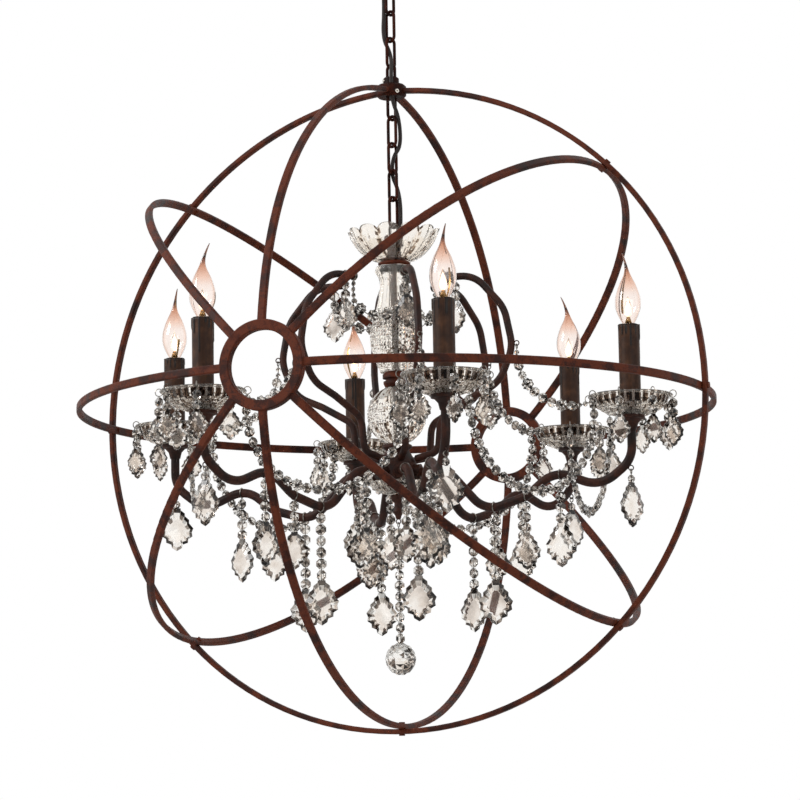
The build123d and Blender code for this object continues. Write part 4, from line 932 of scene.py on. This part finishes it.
def rosette(shape, spot, facing, size=16.0):
    """A flat round flower of eight petals, cut on both sides."""
    before = len(shape.faces)
    lie = Matrix.Translation(spot) @ facing.to_track_quat("Z", "Y").to_matrix().to_4x4()
    disc = bmesh.ops.create_circle(shape, cap_ends=True, segments=16, radius=size / 2 * mm,
                                   matrix=lie)["verts"]
    for vertex in disc[::2]:
        vertex.co = spot + (vertex.co - spot) * 0.84
    shape.faces.ensure_lookup_table()
    back = shape.faces[before]
    front = bmesh.ops.extrude_face_region(shape, geom=[back], use_keep_orig=True)["geom"]
    bmesh.ops.translate(shape, vec=facing * 1.6 * mm, verts=only_verts(front))
    bmesh.ops.translate(shape, vec=-facing * 0.8 * mm,
                        verts=list(dict.fromkeys(only_verts(front) + disc)))
    front_face = [item for item in front if isinstance(item, bmesh.types.BMFace)][0]
    for face, outward in ((front_face, facing), (back, -facing)):
        for shrink, rise in ((0.62, 1.9), (0.45, 0.7)):
            face = bmesh.ops.extrude_discrete_faces(shape, faces=[face])["faces"][0]
            bmesh.ops.scale(shape, vec=(shrink,) * 3, space=Matrix.Translation(-spot),
                            verts=face.verts[:])
            level = sum(((v.co - spot).dot(outward) for v in face.verts)) / len(face.verts)
            bmesh.ops.translate(shape, vec=outward * ((0.8 + rise) * mm - level),
                                verts=face.verts[:])
    # painted reflections: the rosette's faces get random tones from black to clear
    fresh_tones(shape, before, (0.0, 0.05, 0.45, 0.8, 1.0))


def finish_crystals(name, shape, body, nodes):
    """Turns the facets outwards and puts the crystals on their body."""
    bmesh.ops.recalc_face_normals(shape, faces=shape.faces[:])
    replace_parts(put(name, shape, body, [crystal, pin_wire]), *nodes)


def hang_freely():
    """The way a crystal faces after it has spun on its ring: more or less to the front."""
    return Matrix.Rotation(luck.uniform(-0.8, 0.8), 3, "Z") @ view_near


# Drops under the six arms, one button and one large plate each
hook_reach, hook_height = 301.174, -686.603
# how far a small ring's middle hangs under the hook's wire
small_ring, hook_wire = 3.0, 1.7
linked = 2 * small_ring - hook_wire
for index in range(6):
    shape = glass_start()
    turn = arm_turn(index)
    spot = turn @ Vector((hook_reach, 0, hook_height - linked)) * mm
    wire_ring(shape, spot, turn @ Vector((1, 0, 0)), small_ring)
    end = strand(shape, spot - Vector((0, 0, small_ring)) * mm, 11.5)
    pendant(shape, end + Vector((0, 0, 1)) * mm, 55.0, 8.0, hang_freely())
    number = str(index + 1)
    finish_crystals("crystal_arm_drop_" + number, shape, "arm_drop_" + number,
                    ["arm_drop_" + number])

# Long strands, each from a ring round the arm: by the hub, in the dip, on the rise, on the crest
arm_ring = 6.5
shape = glass_start()
for index in range(6):
    turn = arm_turn(index)
    for reach, height, drop, plate in ((52.0, -676.2, 66.0, 46.0), (125.1, -725.5, 85.0, 55.0),
                                       (166.5, -713.4, 40.0, 46.0), (210.9, -689.8, 53.5, 55.0)):
        spot = turn @ Vector((reach, 0, height)) * mm
        wire_ring(shape, spot, turn @ Vector((1, 0, 0)), arm_ring)
        end = strand(shape, spot - Vector((0, 0, arm_ring)) * mm, drop)
        pendant(shape, end + Vector((0, 0, 1)) * mm, plate, plate / 7, hang_freely())
finish_crystals("crystal_long_strands", shape, "chandelier", ["long_strands"])

# Small drops round the outer half of each pan and at the scrolls' tips
shape = glass_start()
pan_ring_reach, pan_ring_height, pan_ring = 53.0, -598.7, 4.5
tip_height, tip_ring = -432.2, 5.5
for index in range(6):
    turn = arm_turn(index)
    for round_pan in (-90, -45, 0, 45, 90):
        out = Vector((cos(radians(round_pan)), sin(radians(round_pan)), 0))
        spot = turn @ (Vector((candle_ring, 0, pan_ring_height)) + out * pan_ring_reach) * mm
        wire_ring(shape, spot, turn @ out.cross(Vector((0, 0, 1))), pan_ring, 1.2)
        end = strand(shape, spot - Vector((0, 0, pan_ring)) * mm, 25.0)
        pendant(shape, end + Vector((0, 0, 1)) * mm, 36.0, 6.0, hang_freely())
    spot = turn @ Vector((81.0, 0, tip_height)) * mm
    wire_ring(shape, spot, turn @ Vector((1, 0, 0)), tip_ring)
    end = strand(shape, spot - Vector((0, 0, tip_ring)) * mm, 26.0)
    pendant(shape, end + Vector((0, 0, 1)) * mm, 42.0, 6.5, hang_freely())
finish_crystals("crystal_small_drops", shape, "chandelier", ["small_drops"])


# Swags: arcs of beads from pan to pan, from scroll to pan, and of rosettes between the scrolls
def hanging_arc(start, end, sag):
    """The arc through two points that hangs by the sag: its centre, its axis and its angle."""
    middle = (start + end) / 2 - Vector((0, 0, sag)) * mm
    a, b = middle - start, end - start
    axis = a.cross(b)
    centre = start + (a.length_squared * b - b.length_squared * a).cross(axis) / (
        2 * axis.length_squared)
    axis.normalize()
    first, last = start - centre, end - centre
    angle = atan2(first.cross(last).dot(axis), first.dot(last)) % (2 * pi)
    return centre, axis, angle


def swag(shape, start, end, sag, size, pitch, small_ends=0, flowers=False):
    """Beads or rosettes along a hanging arc of wire, with a few small beads at each end."""
    centre, axis, angle = hanging_arc(start, end, sag)
    length = angle * (start - centre).length / mm
    small_size, small_pitch = 6.5, 7.5
    ends = small_ends * small_pitch
    count = int((length - 2 * ends) / pitch)
    spots = [(ends + (i + 0.5) * (length - 2 * ends) / count, size, flowers or i % 4 == 2)
             for i in range(count)]
    for i in range(small_ends):
        from_end = (i + 0.6) * small_pitch
        spots += [(from_end, small_size, False), (length - from_end, small_size, False)]
    chord = end - start
    across = Vector((-chord.y, chord.x, 0)).normalized()
    for distance, diameter, flower in spots:
        turn_to = Matrix.Rotation(angle * distance / length, 3, axis)
        spot = centre + turn_to @ (start - centre)
        if flower:
            rosette(shape, spot, across, max(diameter, 16.0))
        else:
            octagon(shape, spot, (turn_to @ axis.cross(start - centre)).normalized(),
                    across, diameter)
    # the wire that the beads are threaded on
    before = len(shape.faces)
    radial = (start - centre).normalized()
    wire = bmesh.ops.create_circle(
        shape, segments=5, radius=0.6 * mm,
        matrix=Matrix.Translation(start)
        @ Matrix((radial, axis, radial.cross(axis))).transposed().to_4x4())["verts"]
    edges = list(dict.fromkeys(e for v in wire for e in v.link_edges))
    bmesh.ops.spin(shape, geom=wire + edges, cent=centre, axis=axis, angle=angle,
                   steps=max(8, int(length / 7)))
    made_of(shape, before, 1)


sixth = Matrix.Rotation(pi / 3, 3, "Z")
button, button_step = 13.2, 12.9
shape = glass_start()
diagonal = pan_ring_reach / sqrt(2)
swag_height = pan_ring_height - pan_ring
start = Vector((candle_ring - diagonal, diagonal, swag_height)) * mm
end = sixth @ (Vector((candle_ring - diagonal, -diagonal, swag_height)) * mm)
swag(shape, start, end, 120.0, button, button_step)
to_ring = Vector((0, 0, pan_ring)) * mm
wire_ring(shape, start + to_ring, Vector((1, 1, 0)).normalized(), pan_ring, 1.2)
wire_ring(shape, end + to_ring, sixth @ Vector((1, -1, 0)).normalized(), pan_ring, 1.2)
start = Vector((66.0, 0, tip_height - tip_ring)) * mm
end = sixth @ (Vector((68.0, 0, tip_height - tip_ring)) * mm)
swag(shape, start, end, 48.0, 16.0, 17.0, 4, True)
to_ring = Vector((0, 0, tip_ring)) * mm
wire_ring(shape, start + to_ring, Vector((1, 0, 0)), tip_ring)
wire_ring(shape, end + to_ring, sixth @ Vector((1, 0, 0)), tip_ring)
side_reach, side_height = 159.25, -522.2
side_ring = side_height - linked
start = Vector((side_reach, 0, side_ring - small_ring)) * mm
end = Vector((candle_ring - pan_ring_reach, 0, swag_height)) * mm
swag(shape, start, end, 34.0, button, button_step, 2)
wire_ring(shape, Vector((side_reach, 0, side_ring)) * mm, Vector((1, 0, 0)), small_ring)
wire_ring(shape, end + Vector((0, 0, pan_ring)) * mm, Vector((0, 1, 0)), pan_ring, 1.2)
at_each_arm(shape)
finish_crystals("crystal_bead_swags", shape, "chandelier", ["bead_swags"])

# The ball at the bottom, on its own strand
shape = glass_start()
finial_hook, drop_ball = -736.7, 19.2
spot = Vector((0, 0, finial_hook - linked)) * mm
wire_ring(shape, spot, Vector((1, 0, 0)), small_ring)
end = strand(shape, spot - Vector((0, 0, small_ring)) * mm, 145.5)
ball = bmesh.ops.create_uvsphere(shape, u_segments=10, v_segments=8, radius=drop_ball * mm,
                                 matrix=Matrix.Translation(end - Vector((0, 0, drop_ball - 0.45)) * mm))["verts"]
# the ball's pyramids get painted light from a lamp above left
hobnail(shape, list(dict.fromkeys(face for vertex in ball for face in vertex.link_faces)), 1.4)
finish_crystals("crystal_ball_drop", shape, "ball_drop", ["ball_drop"])
